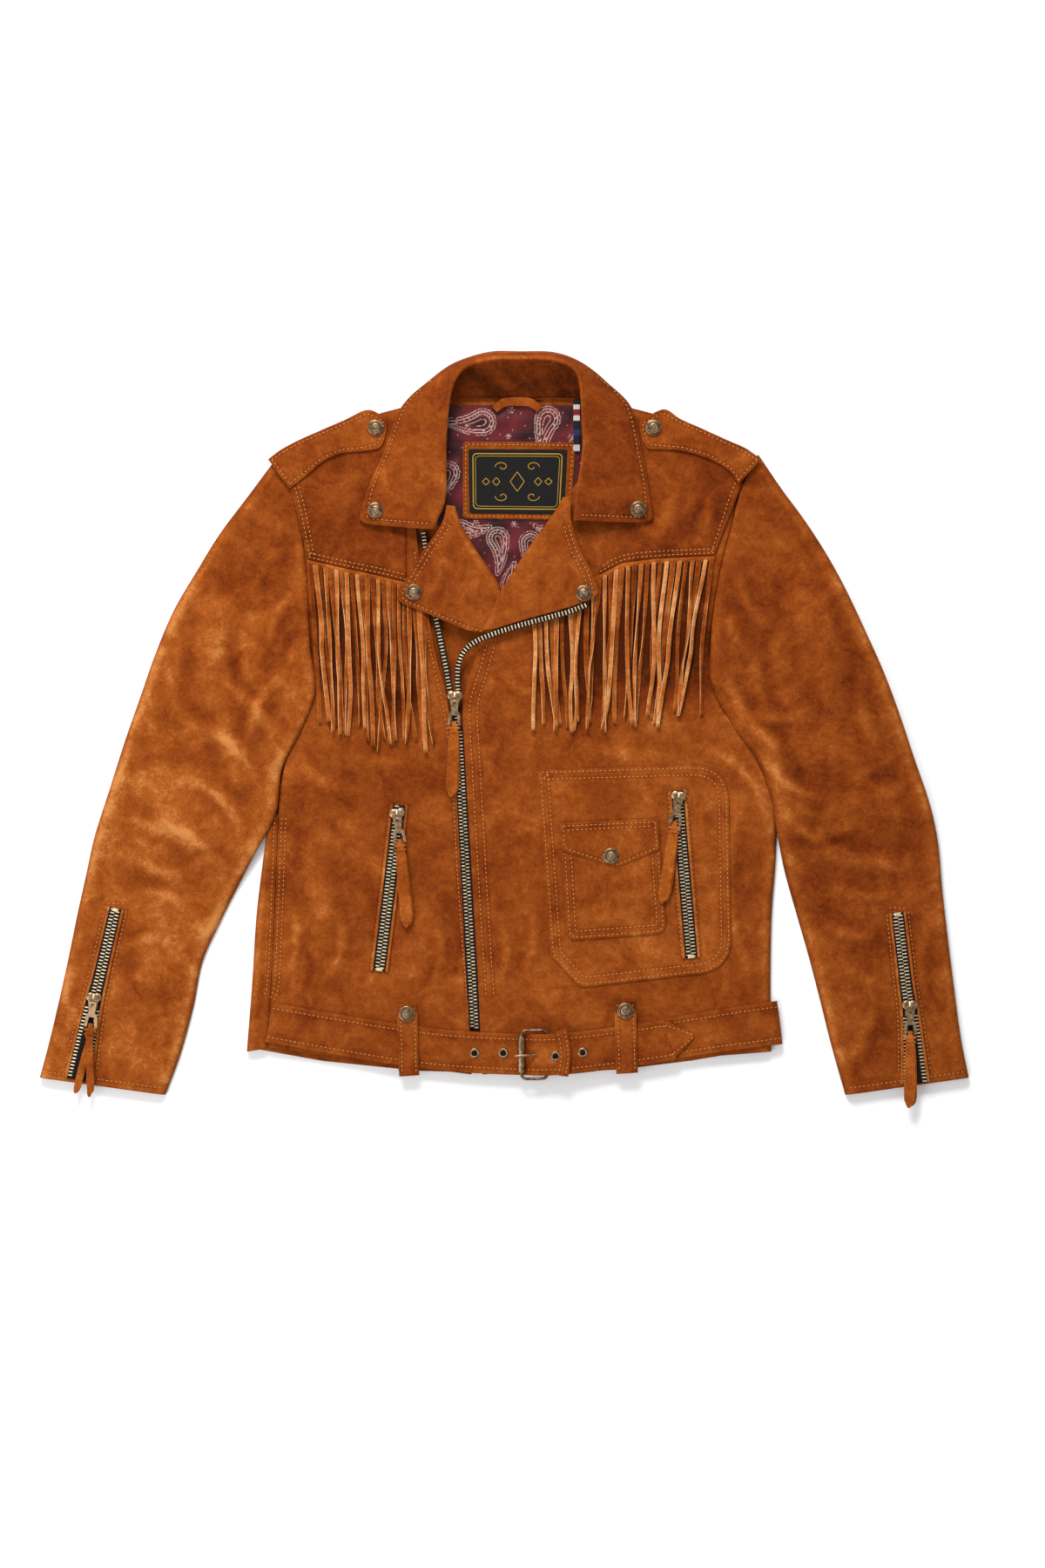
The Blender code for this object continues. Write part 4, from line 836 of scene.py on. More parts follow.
beltSteps = {
    "strap": stepsOf(
        hide, (-216, -269, beltTop, 37), (-160, -279, beltTop, 37.5), (-103, -288.5, beltTop, 38),
        (-60, -294, beltTop, 38), (-27, -296.5, beltTop, 38), (6, -298, beltTop + 0.3, 38),
        (18, -298.3, beltTop + 0.6, 38), (32, -298.5, beltTop + 6.0, 38), (46, -298, beltTop + 6.4, 38),
        (66, -296.5, beltTop + 4.6, 38), (92, -293.5, strapOver + 0.2, 38), (120, -290, strapOver, 38),
        (147, -286, strapOver, 38), (151, -285.3, strapOver, 37.4), (157, -284.3, strapOver, 29),
        (165, -282.9, strapOver, 17), (174, -281.2, strapOver, 3),
    ),
    "right": stepsOf(
        hide, (26, -298.5, beltTop, 37), (80, -295.5, beltTop, 37), (140, -286, beltTop, 38),
        (190, -278, beltTop, 39), (232, -272, beltTop, 40), (246, -270, beltTop - 0.2, 40),
        (251, -269.5, beltTop - 1.4, 40), (253.5, -269.2, beltTop - 4, 40),
    ),
}
beltPiece = asSuede(strap("beltStrapShell", beltSteps["strap"], cell=2.4), "belt_strap")
beltRightPiece = asSuede(strap("beltRightShell", beltSteps["right"], cell=2.4), "belt_right")


def beltLoop(side, x, yTop, yLow, over, width):
    low = frontTop + 0.4 + hide
    steps = stepsOf(
        hide, (x, yTop, low, width), (x + 0.4, yTop - 8, low, width), (x + 0.8, yTop - 15, over, width),
        (x + 1.6, yLow + 12, over, width), (x + 2.2, yLow + 3, over - 0.4, width),
        (x + 2.4, yLow, over - 1.6, width),
    )
    return asSuede(strap("beltLoop" + side.title() + "Shell", steps, cell=2.0), "belt_loop_" + side)


loopLeftPiece = beltLoop("left", -89.5, -252, -318, beltTop + 1 + hide, 18.5)
loopRightPiece = beltLoop("right", 110.5, -249, -315.5, strapOver + 0.6 + hide, 20)
keeperTop = beltTop + 6.8 + hide
keeperPiece = asSuede(strap("beltKeeperShell", stepsOf(
    thin, (51.5, -275.5, keeperTop - 0.9, 11), (53.6, -282, keeperTop, 11),
    (55.5, -298, keeperTop + 0.2, 11), (54.2, -311, keeperTop, 11), (53.4, -317.6, keeperTop - 0.9, 11),
), cell=1.8), "belt_keeper")

print("collar")

Section = namedtuple("Section", "edgeX edgeY edgeZ rollX rollY rollZ neckX neckY neckZ")
collarLook = {
    "rollRadius": 3.2, "wall": 1.8, "bow": 1.2, "belly": 0.8, "rim": 0.7, "facing": 1.2,
    # points along the fall, half of the turn and the stand
    "fall": 22, "turn": 8, "stand": 9,
    "sections": [Section(*row) for row in (
        # three sections close together round each leaf's corner
        (-125.5, 188.4, 13, -64, 184, 14.5, -70, 186, 8.8),
        (-131, 190.8, 13, -63, 187, 14.8, -69, 189, 8.9),
        (-132.4, 197, 13, -61.4, 192, 15.2, -67.5, 194, 9.0),
        (-125, 222, 13, -53.5, 214, 17, -60, 216, 9.5), (-111, 254, 13, -53, 258, 20, -60, 257, 11),
        (-95, 296, 12, -51, 296, 23, -56, 290, 12), (-71, 320, 6, -45, 321, 26, -46, 304, 8),
        (-48, 336, 3, -34, 333, 27, -37, 304, 5), (-16, 346.6, 2.2, -12, 339, 27, -10, 304, 4.5),
        (14, 347.6, 2.2, 14, 340, 26, 14, 303, 4.5), (46, 346.6, 2.2, 42, 339, 27, 40, 304, 4.5),
        (74, 336, 3, 61, 333, 27, 64, 304, 5), (94, 320, 6, 69, 321, 26, 71, 304, 8),
        (117, 296, 12, 71, 296, 23, 77, 290, 12), (127, 254, 13, 72, 258, 20, 79, 257, 11),
        (133, 222, 13, 67, 222, 17.5, 74, 222, 10), (136.3, 198, 13, 64.8, 199, 16.8, 71.8, 200, 9.6),
        (135, 191.9, 13, 64.3, 195, 16.6, 71.3, 196, 9.5), (129.5, 189.6, 13, 64, 192, 16.5, 71, 193, 9.5),
    )],
}


def collarProfile(section, look):
    # from the free edge, over the roll line, and down the stand to the neck seam
    edge, roll, neck = (Vector(section[k:k + 3]) for k in (0, 3, 6))
    fall, stand = (edge - roll).normalized(), (neck - roll).normalized()
    out = -(fall + stand).normalized()
    fallOut = (out - fall * out.dot(fall)).normalized()
    standOut = (out - stand * out.dot(stand)).normalized()
    centre = roll - out * look["rollRadius"]
    turn = [fallOut.slerp(out, k / look["turn"]) for k in range(look["turn"])]
    turn += [out.slerp(standOut, k / look["turn"]) for k in range(look["turn"] + 1)]
    points, ways = [], []
    start, end = edge, centre + fallOut * look["rollRadius"]
    for k in range(look["fall"]):
        t = (k / look["fall"]) ** 1.3
        bow = fallOut * (look["bow"] * min(1, 4 * t, 4 * (1 - t)) + look["belly"] * math.sin(math.pi * t))
        rim = fallOut * (-look["rim"] * max(0.0, 1 - t * 30))
        points.append(start.lerp(end, t) + bow + rim)
        ways.append(fallOut)
    points += [centre + way * look["rollRadius"] for way in turn]
    ways += turn
    for k in range(1, look["stand"] + 1):
        points.append((centre + standOut * look["rollRadius"]).lerp(neck, k / look["stand"]))
        ways.append(standOut)
    return points, ways


def collar(look):
    outer, inner = [], []
    for row in smoothed(look["sections"], 9):
        points, ways = collarProfile(row.tolist(), look)
        outer.append([list(p) for p in points])
        inner.append([list(p - way * look["wall"]) for p, way in zip(points, ways)])
    outer, inner = np.array(outer), np.array(inner)
    ripple = (0.22 * waves(outer[..., 0], outer[..., 1], 41, 22))[..., None]
    ripple = ripple * (outer - inner) / look["wall"]
    # lighter along the roll line, partly rubbed and partly painted highlight; painted shade inside the neck,
    # and painted light that makes the left leaf lighter than the right
    across = np.arange(outer.shape[1])[None, :]
    rollLine = look["fall"] + look["turn"]
    wearAndShade = 0.42 + 0.15 * np.exp(-((across - rollLine) / 4.0) ** 2) - 0.0006 * outer[..., 0]
    wearAndShade = wearAndShade - 0.25 * np.clip((across - rollLine - 3) / 7, 0, 1)
    return clothSheet("collarShell", outer + ripple, 0, values=wearAndShade, inner=inner + ripple)


collarPiece = asSuede(collar(collarLook), "collar")


def neckFacing(look):
    # the turned-down seam that closes the back of the neck between the stand and the back panel
    neck = np.array(smoothed(look["sections"], 9))[:, 6:9]
    # only round the back, and leaning away from a point in front of it
    neck = neck[neck[:, 1] > 262]
    middle = neck[:, :2].mean(axis=0) - (0, 40)
    away = neck[:, :2] - middle
    away /= np.linalg.norm(away, axis=1, keepdims=True)
    grid = np.repeat(neck[:, None, :], 5, axis=1)
    grid[..., 2] = np.linspace(neck[:, 2] + 0.4, np.full(len(neck), layers["backTop"] + 0.2), 5, axis=1)
    inner = grid.copy()
    inner[..., :2] += away[:, None, :] * look["facing"]
    # painted shade: the facing is darker, down inside the neck
    return clothSheet("neckSeamFacing", grid, 0, inner=inner, shade=-0.2)


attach(neckFacing(collarLook), cloth)

print("fringe")


def alongLine(line, share):
    steps = [math.dist(a, b) for a, b in zip(line, line[1:])]
    left = share * sum(steps)
    for a, b, step in zip(line, line[1:], steps):
        if left <= step or b is line[-1]:
            return Vector(a).lerp(Vector(b), left / step)
        left -= step


strandLook = {"width": (3.3, 5.2), "thick": 1.15, "lift": 1.7, "proud": 2.0, "sway": 7.0, "twist": 1.15,
              "parts": 30, "sides": 10, "rootLow": 3.6, "between": 0.3, "drift": 8.5, "narrows": 0.12,
              # painted shade: the lower strands, under the upper ones, are darker
              "shades": ((0.34, 0.58), (0.50, 0.74)), "cutSide": 0.45,
              # the strip that the strands are cut from: how far under the yoke's seam, and how high
              "strip": ((1.0, 0), (1.0, 1.0), (1.6, 1.2), (5.0, 1.1), (5.4, 0.6), (5.4, 0)), "stripSteps": 60}


def addTube(points, faces, values, rings, ringValues):
    # joins rings of equal count into one closed body in the lists given
    count = len(rings[0])
    start = len(points)
    for ring, value in zip(rings, ringValues):
        points += [tuple(p) for p in ring]
        values += list(value)
    for i in range(len(rings) - 1):
        for a in range(count):
            b = (a + 1) % count
            first, second = start + i * count, start + (i + 1) * count
            faces.append((first + a, first + b, second + b, second + a))
    faces.append(tuple(start + a for a in reversed(range(count))))
    faces.append(tuple(start + (len(rings) - 1) * count + a for a in range(count)))


def fringe(side, form, look):
    chance, wild = random.Random(form["seed"]), random.Random(form["seed"] + 60)
    low = frontTop + gap
    length = sum(math.dist(a, b) for a, b in zip(form["seam"], form["seam"][1:]))
    parts = [], [], []
    strip = []
    for k in range(look["stripSteps"] + 1):
        p = alongLine(form["seam"], k / look["stripSteps"])
        z = low + float(onCloth(p.x, p.y - 3))
        strip.append([(p.x, p.y - under, z + up) for under, up in look["strip"]])
    addTube(*parts, strip, [[0.5] * len(look["strip"])] * len(strip))
    for i in range(form["count"]):
        middle = (i + 0.5) / form["count"]
        root = alongLine(form["seam"], middle) - Vector((0, look["rootLow"]))
        tip = alongLine(form["tips"], middle) + Vector((chance.uniform(-2, 2), chance.uniform(-7, 7)))
        sway, phase = chance.uniform(0.6, 2.2), chance.uniform(0, math.tau)
        width = min(wild.uniform(*look["width"]), length / form["count"] - look["between"])
        bow, bowPhase = wild.uniform(-1, 1) * look["sway"], wild.uniform(0.5, 0.9)
        drift = wild.uniform(-look["drift"], look["drift"])
        twist, twistPhase = wild.uniform(-1, 1) * look["twist"], wild.uniform(0, math.tau)
        upper = i % 2
        shade = wild.uniform(*look["shades"][upper]) + form["shade"]
        rings, ringValues = [], []
        for k in range(look["parts"] + 1):
            t = k / look["parts"]
            x = root.x + (tip.x - root.x) * t + sway * (math.sin(phase + 5 * t) - math.sin(phase)) * t
            x += bow * math.sin(math.pi * min(1, t / bowPhase)) * t + drift * t**2
            y = root.y + (tip.y - root.y) * t
            roll = twist * math.sin(twistPhase + 6 * t) * min(1, 4 * t)
            own = width * (1 - look["narrows"] * t) / 2
            z = low + 0.6 + (look["lift"] * min(1, 3 * t) if upper else 0) + abs(math.sin(roll)) * own * 0.8
            # below the lapels the upper strands stand off the cloth
            z += look["proud"] * upper * min(1, max(0, 4 * t - 1.3)) * (1 - 0.5 * t)
            z += float(onCloth(x, y))
            ring, shades = [], []
            for a in range(look["sides"]):
                turn = math.tau * (a + 0.5) / look["sides"]
                u = own * math.copysign(abs(math.cos(turn)) ** 0.55, math.cos(turn))
                v = look["thick"] / 2 * math.copysign(abs(math.sin(turn)) ** 0.6, math.sin(turn))
                ring.append((x + u * math.cos(roll) - v * math.sin(roll), y,
                             z + u * math.sin(roll) + v * math.cos(roll)))
                # the cut sides are paler than the napped face
                paler = look["cutSide"] if abs(u) > own * 0.9 else 0.0
                # painted shade: the lower strands darker still toward their roots
                shades.append(shade + paler - 0.12 * (1 - t) * (not upper))
            rings.append(ring)
            ringValues.append(shades)
        addTube(*parts, rings, ringValues)
    return asSuede(makePiece("fringe" + side.title() + "Strands", suedeCord, *parts), "fringe_" + side)


fringePieces = [fringe(side, form, strandLook) for side, form in fringes.items()]

print("snaps, buckle and eyelets")


def addLathe(points, faces, values, x, y, z, profile, sides=36):
    # a round body about a vertical axis, from radius, height and shade; both ends lie on the axis
    start = len(points)
    inner = profile[1:-1]
    for n, (radius, height, shade) in enumerate(profile):
        around = sides if 0 < n < len(profile) - 1 else 1
        for k in range(around):
            turn = math.tau * k / sides
            points.append((x + radius * math.cos(turn), y + radius * math.sin(turn), z + height))
            values.append(shade)
    end = len(points) - 1
    for k in range(sides):
        j = (k + 1) % sides
        faces.append((start, start + 1 + j, start + 1 + k))
        for n in range(len(inner) - 1):
            a, b = start + 1 + n * sides, start + 1 + (n + 1) * sides
            faces.append((a + k, a + j, b + j, b + k))
        last = start + 1 + (len(inner) - 1) * sides
        faces.append((last + k, last + j, end))


snapLook = {
    # radius, height and how much the place is rubbed, from the foot to the middle of the cap
    "profile": ((0, 0, 0.2), (6.6, 0, 0.2), (7.2, 0.25, 0.5), (7.4, 0.8, 0.75), (7.15, 1.35, 0.8),
                (6.6, 1.6, 0.55), (6.2, 1.55, 0.15), (5.9, 1.7, 0.35), (5.2, 1.85, 0.55), (4.7, 1.86, 0.45),
                (4.4, 1.70, 0.1), (4.1, 1.72, 0.15), (3.8, 1.95, 0.6), (2.6, 2.08, 0.7), (2.2, 2.0, 0.3),
                (1.9, 2.1, 0.6), (1.0, 2.2, 0.75), (0, 2.25, 0.75)),
    "places": {
        "collar_left": (-118, 201, 16.05), "collar_right": (123, 202, 16.05),
        "lapel_left": (-83, 126, lapelTop + gap), "lapel_right": (73, 125, overLapelTop + gap),
        "epaulette_left": (-118, 277, tabTop + 0.65), "epaulette_right": (137, 277, tabTop + 0.65),
        "flap": (98, -116, flapTop + gap), "loop_left": (-89.5, -261, beltTop + 3.35),
        "loop_right": (111, -258, strapOver + 3.0),
    },
}


def snap(where, place, profile):
    parts = [], [], []
    x, y, z = place
    z += 0.0 if where.startswith("collar") else float(onCloth(x, y))
    addLathe(*parts, x, y, z, profile)
    asBrass(makePiece("snap" + camel(where) + "Cap", antiqueBrass, *parts), "snap_" + where)


for where, place in snapLook["places"].items():
    snap(where, place, snapLook["profile"])


def addBar(points, faces, values, path, radii, sides=14, closed=False, shade=0.5):
    # a round bar along a path
    count = len(path)
    rings = []
    for i, middle in enumerate(path):
        before = path[i - 1] if closed or i else path[0]
        after = path[(i + 1) % count] if closed or i < count - 1 else path[-1]
        ahead = (Vector(after) - Vector(before)).normalized()
        side = ahead.cross(Vector((0, 0, 1))).normalized()
        up = side.cross(ahead)
        turns = [math.tau * k / sides for k in range(sides)]
        rings.append([Vector(middle) + (side * math.cos(turn) + up * math.sin(turn)) * radii[i]
                      for turn in turns])
    if not closed:
        addTube(points, faces, values, rings, [[shade] * sides] * count)
        return
    start = len(points)
    for ring in rings:
        points += [tuple(p) for p in ring]
        values += [shade] * sides
    for i in range(count):
        for k in range(sides):
            j = (k + 1) % sides
            a, b = start + i * sides, start + (i + 1) % count * sides
            faces.append((a + k, a + j, b + j, b + k))


buckleLook = {"left": 15.5, "right": 40.0, "low": -320.5, "high": -276.0, "wire": 1.45, "roller": 3.2}


def buckle(look):
    leftZ = beltTop + 0.6 + look["roller"] + 0.5
    rightZ = beltTop + 0.45 + look["wire"]
    corners = ((look["left"], look["high"]), (look["left"], look["low"]),
               (look["right"], look["low"]), (look["right"], look["high"]))
    path = []
    for x, y in spread(rounded(corners, 6, parts=10), 1.2, closed=True):
        share = (x - look["left"]) / (look["right"] - look["left"])
        path.append((x, y, leftZ + (rightZ - leftZ) * share))
    parts = [], [], []
    addBar(*parts, path, [look["wire"]] * len(path), closed=True, shade=0.55)
    # the roller on its wire, with rounded ends
    ends = ((0, 2.2), (0.5, 3.0), (1.4, 3.2), (32, 3.2), (32.9, 3.0), (33.4, 2.2))
    roller = [(look["left"], look["high"] - 5.5 - off, leftZ) for off, radius in ends]
    addBar(*parts, roller, [radius for off, radius in ends], sides=24, shade=0.62)
    asBrass(makePiece("buckleFrameBar", antiqueBrass, *parts), "buckle_frame")
    top = leftZ + look["roller"] + 1.5
    line = [(30.5, -298.4, beltTop + 5.4), (28, -298.4, beltTop + 6.3), (25.5, -298.5, beltTop + 6.9),
            (22, -298.6, top - 0.9), (16, -298.8, top), (12, -298.95, top - 0.3), (9.5, -299, top - 1.0)]
    parts = [], [], []
    fine = smoothed(line, 5)
    radii = np.interp(np.linspace(0, 1, len(fine)), [0, 0.8, 1], [1.15, 1.15, 0.7])
    addBar(*parts, [tuple(p) for p in fine], radii, shade=0.7)
    asBrass(makePiece("buckleTongueBar", antiqueBrass, *parts), "buckle_tongue")


buckle(buckleLook)

eyeletLook = {
    "places": ((-27.2, -297.2), (-0.8, -297.2), (47.2, -299.6), (72.0, -296.4)),
    "ring": ((0, 0.05, 0.1), (2.5, 0.05, 0.1), (2.55, 0.55, 0.4), (2.9, 0.85, 0.6), (3.5, 0.95, 0.65),
             (4.3, 0.75, 0.55), (4.75, 0.3, 0.35), (4.8, -0.3, 0.2), (0, -0.3, 0.1)),
    "holeShadow": ((0, 0.18, 0.5), (2.5, 0.16, 0.5), (2.5, 0.1, 0.5), (0, 0.1, 0.5)),
}


def surfaceOf(*pieces):
    # looks straight down onto the pieces, for what is sewn or set on them
    found = []
    for piece in pieces:
        mesh = piece.data
        corners = [tuple(v.co) for v in mesh.vertices]
        found.append(BVHTree.FromPolygons(corners, [tuple(p.vertices) for p in mesh.polygons]))

    def look(x, y):
        best = None
        for tree in found:
            place, normal, *rest = tree.ray_cast(Vector((x * mm, y * mm, 0.1)), Vector((0, 0, -1)))
            if place is not None and (best is None or place.z > best[0].z):
                best = (place, normal)
        return (best[0] / mm, best[1]) if best else None

    return look


onBelt = surfaceOf(beltPiece)
# the rings, and in each a dark disc as painted shade for the hole
for name, form, sides, finish in (("beltEyelets", "ring", 24, antiqueBrass),
                                  ("beltEyeletHoles", "holeShadow", 20, blackTape)):
    parts = [], [], []
    for x, y in eyeletLook["places"]:
        place, normal = onBelt(x, y)
        addLathe(*parts, x, y, place.z, eyeletLook[form], sides)
    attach(makePiece(name, finish, *parts), cloth)

print("zips")

toothLook = {"pitch": 3.2, "along": 1.3, "across": 4.3, "high": 1.5, "reach": 2.25, "openAcross": 4.3}
stopLook = {"along": 3.2, "across": 6.0, "high": 1.8}
zipTop = frontTop + 0.5
zipThick = 1.4
onFrontZip = frontTop + gap + zipThick
onPatchZip = patchTop + gap + zipThick
onSleeveZip = sleeveTop + gap + thin
lapelEdge = overLapelTop - 0.2
# openSide is how many chains show where the zip is open, 1 for one and 0 for both
zips = {
    "main": {
        "steps": stepsOf(
            2.4, (-27.2, -275.5, zipTop, 10.6), (-29, -240, zipTop, 10.6), (-33, -170, zipTop, 10.6),
            (-37, -100, zipTop, 10.4), (-40.8, -30, zipTop, 9.4), (-44, 14, zipTop, 7.6),
            (-49, 31, zipTop, 5), (-54.2, 60, zipTop, 6), (-61.2, 95, zipTop, 6), (-67.2, 130, zipTop, 6),
            (-72.2, 165, zipTop, 6), (-74.6, 182, zipTop, 6),
        ), "closedUpTo": 0.60, "openSide": 1, "rubbed": -0.1, "across": 3.6, "reach": 1.9, "hill": onCloth,
    },
    "upper_right": {
        "steps": stepsOf(
            2, (-41.8, 29, zipTop + 0.6, 4.6), (-43, 46, zipTop + 1.6, 5), (-41.5, 62, zipTop + 3.4, 5),
            (-34, 75, lapelTop + 2.75, 5), (-18, 84.5, lapelEdge, 5), (10, 94, lapelEdge, 5),
            (40, 102.4, lapelEdge, 5), (60, 108, lapelEdge, 5), (76, 114.5, lapelEdge, 5),
        ), "closedUpTo": 0.0, "openSide": 1, "hill": onCloth,
    },
    "pocket_left": {
        "steps": stepsOf(zipThick, (-96.5, -69, onFrontZip, 11.4), (-106, -150, onFrontZip, 11.6),
                         (-115, -222, onFrontZip, 11.4)),
        "closedUpTo": 1.0, "openSide": 1, "hill": onCloth,
    },
    "pocket_right": {
        "steps": stepsOf(zipThick, (159, -56, onPatchZip, 11), (166, -140, onPatchZip, 11.4),
                         (172, -210, onPatchZip, 11.4)),
        "closedUpTo": 1.0, "openSide": 1, "rubbed": -0.08, "hill": onPatch,
    },
    "cuff_left": {
        "steps": stepsOf(zipThick, (-357, -164, onSleeveZip, 11), (-371, -224, onSleeveZip, 11.8),
                         (-380, -262, onSleeveZip, 15), (-391, -322, onSleeveZip, 22)),
        "closedUpTo": 0.58, "openSide": 0, "hill": onSleeve,
    },
    "cuff_right": {
        "steps": stepsOf(zipThick, (361.5, -168, onSleeveZip, 11), (369, -232, onSleeveZip, 11.8),
                         (373.5, -266, onSleeveZip, 14), (378, -325, onSleeveZip, 22)),
        "closedUpTo": 0.6, "openSide": 0, "hill": onSleeve,
    },
}


def addTooth(points, faces, values, middle, ahead, side, look, shade):
    # one pressed tooth, narrower at its top
    start = len(points)
    for height, shrink in ((0.0, 1.0), (0.65, 1.0), (1.0, 0.72)):
        for u, v in ((-1, -1), (1, -1), (1, 1), (-1, 1)):
            p = middle + ahead * (u * look["along"] / 2 * shrink) + side * (v * look["across"] / 2 * shrink)
            points.append((p.x, p.y, p.z + look["high"] * (height - 1)))
            values.append(shade + 0.25 * height)
    for ring in (0, 4):
        for k in range(4):
            j = (k + 1) % 4
            faces.append((start + ring + k, start + ring + j, start + ring + 4 + j, start + ring + 4 + k))
    faces.append(tuple(start + 3 - k for k in range(4)))
    faces.append(tuple(start + 8 + k for k in range(4)))


def zipChain(where, form, look):
    # the woven tape, then the teeth on it
    hill = form["hill"]
    sunk = 0.85
    steps = [s._replace(z=s.z - sunk, thick=s.thick - sunk) for s in form["steps"]]
    tapePiece = settle(strap("zip" + camel(where) + "Tape", steps, blackTape, cell=4, hill=hill, edge=0.3),
                       cloth, "zip_tape", "zip_" + where)
    fine = np.array(smoothed(form["steps"], 12))
    line = spread(fine, look["pitch"] / 2)
    ahead = np.gradient(line[:, :3], axis=0)
    parts = [], [], []
    chance = random.Random(len(where))
    closed = dict(look, across=form.get("across", look["across"]))
    single = dict(look, across=look["openAcross"])
    reach = form.get("reach", look["reach"])

    def at(k, lift=0.0):
        # where the chain runs at its kth point, which way, what lies beside it, and how wide it is
        forward = Vector(ahead[k]).normalized()
        side = Vector((forward.y, -forward.x, 0)).normalized()
        x, y, z, width = line[k][:4]
        return Vector((x, y, z + lift + float(hill(x, y)))), forward, side, width

    for k in range(1, len(line) - 1):
        share = k / (len(line) - 1)
        middle, forward, side, width = at(k)
        shade = 0.42 + form.get("rubbed", 0) + chance.uniform(-0.15, 0.15)
        if share <= form["closedUpTo"]:
            off = reach * (1 if k % 2 else -1)
            addTooth(*parts, middle + side * off, forward, side, closed, shade)
        elif form["openSide"]:
            if k % 2:
                addTooth(*parts, middle, forward, side, single, shade)
        else:
            # the two chains part below the slider
            off = (width - look["across"]) / 2 * (1 if k % 2 else -1)
            addTooth(*parts, middle + side * off, forward, side, look, shade)
    if where.startswith(("pocket", "cuff")):
        # the metal stop at the closed end
        middle, forward, side, width = at(len(line) - 2 if where.startswith("pocket") else 1, 0.2)
        addTooth(*parts, middle, forward, side, stopLook, 0.35)
    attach(makePiece("zip" + camel(where) + "Teeth", toothBrass, *parts, smooth=False), cloth)
    return tapePiece


zipTapes = {where: zipChain(where, form, toothLook) for where, form in zips.items()}
weltLook = {"wide": 2.4, "thick": 1.25, "low": 0.1, "shade": 0.16}


def zipWelt(name, form, look, way):
    # a narrow fold of suede along one side of the slot
    steps = np.array(smoothed(form["steps"], 4))
    off = way * (steps[:, 3] + look["wide"]) / 2
    welt = [Step(s[0] - w[0] * o, s[1] - w[1] * o, s[2] - look["low"], look["wide"], look["thick"])
            for s, w, o in zip(steps.tolist(), leftOf(steps[:, :2]), off)]
    top, under = strapGrid(welt, cell=3.0, edge=0.5, hill=form["hill"])
    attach(clothSheet(name, top, 0, inner=under, shade=look["shade"]), cloth)


for where, form in zips.items():
    if form["openSide"] == 0 or where.startswith("pocket"):
        for sideName, way in (("Near", -1), ("Far", 1)):
            zipWelt("welt" + camel(where) + sideName, form, weltLook, way)

print("sliders and pulls")


def dressMetal(nodeName, shade):
    # a hard solid with its sharp edges eased
    ease = dressSolid(nodeName, antiqueBrass, shade).modifiers.new("easedEdges", "BEVEL")
    ease.width = 0.22 * mm
    ease.segments = 2
    ease.angle_limit = math.radians(40)
    ease.harden_normals = True


pulls = {
    # pin's place, the way the tab lies, the zip's top and the thong's length
    "main": (-45.5, 26, -0.02, -1, frontTop + 1.5, 88),
    "pocket_left": (-98, -82, 0.1, -1, onFrontZip, 100),
    "pocket_right": (159.5, -66, -0.14, -1, frontTop + 2 * gap + thin + zipThick, 94),
    "cuff_left": (-377.5, -251, -0.1, -1, onSleeveZip, 90),
    "cuff_right": (372.5, -258, 0.01, -1, onSleeveZip, 89.3),
}
sliderLook = {"ear": 4.2, "earOff": 3.0, "earHigh": 2.3, "bridge": 1.15}


def placed(x, y, ahead, alongBy, asideBy):
    side = Vector((ahead.y, -ahead.x))
    return Vector((x, y)) + ahead * alongBy + side * asideBy


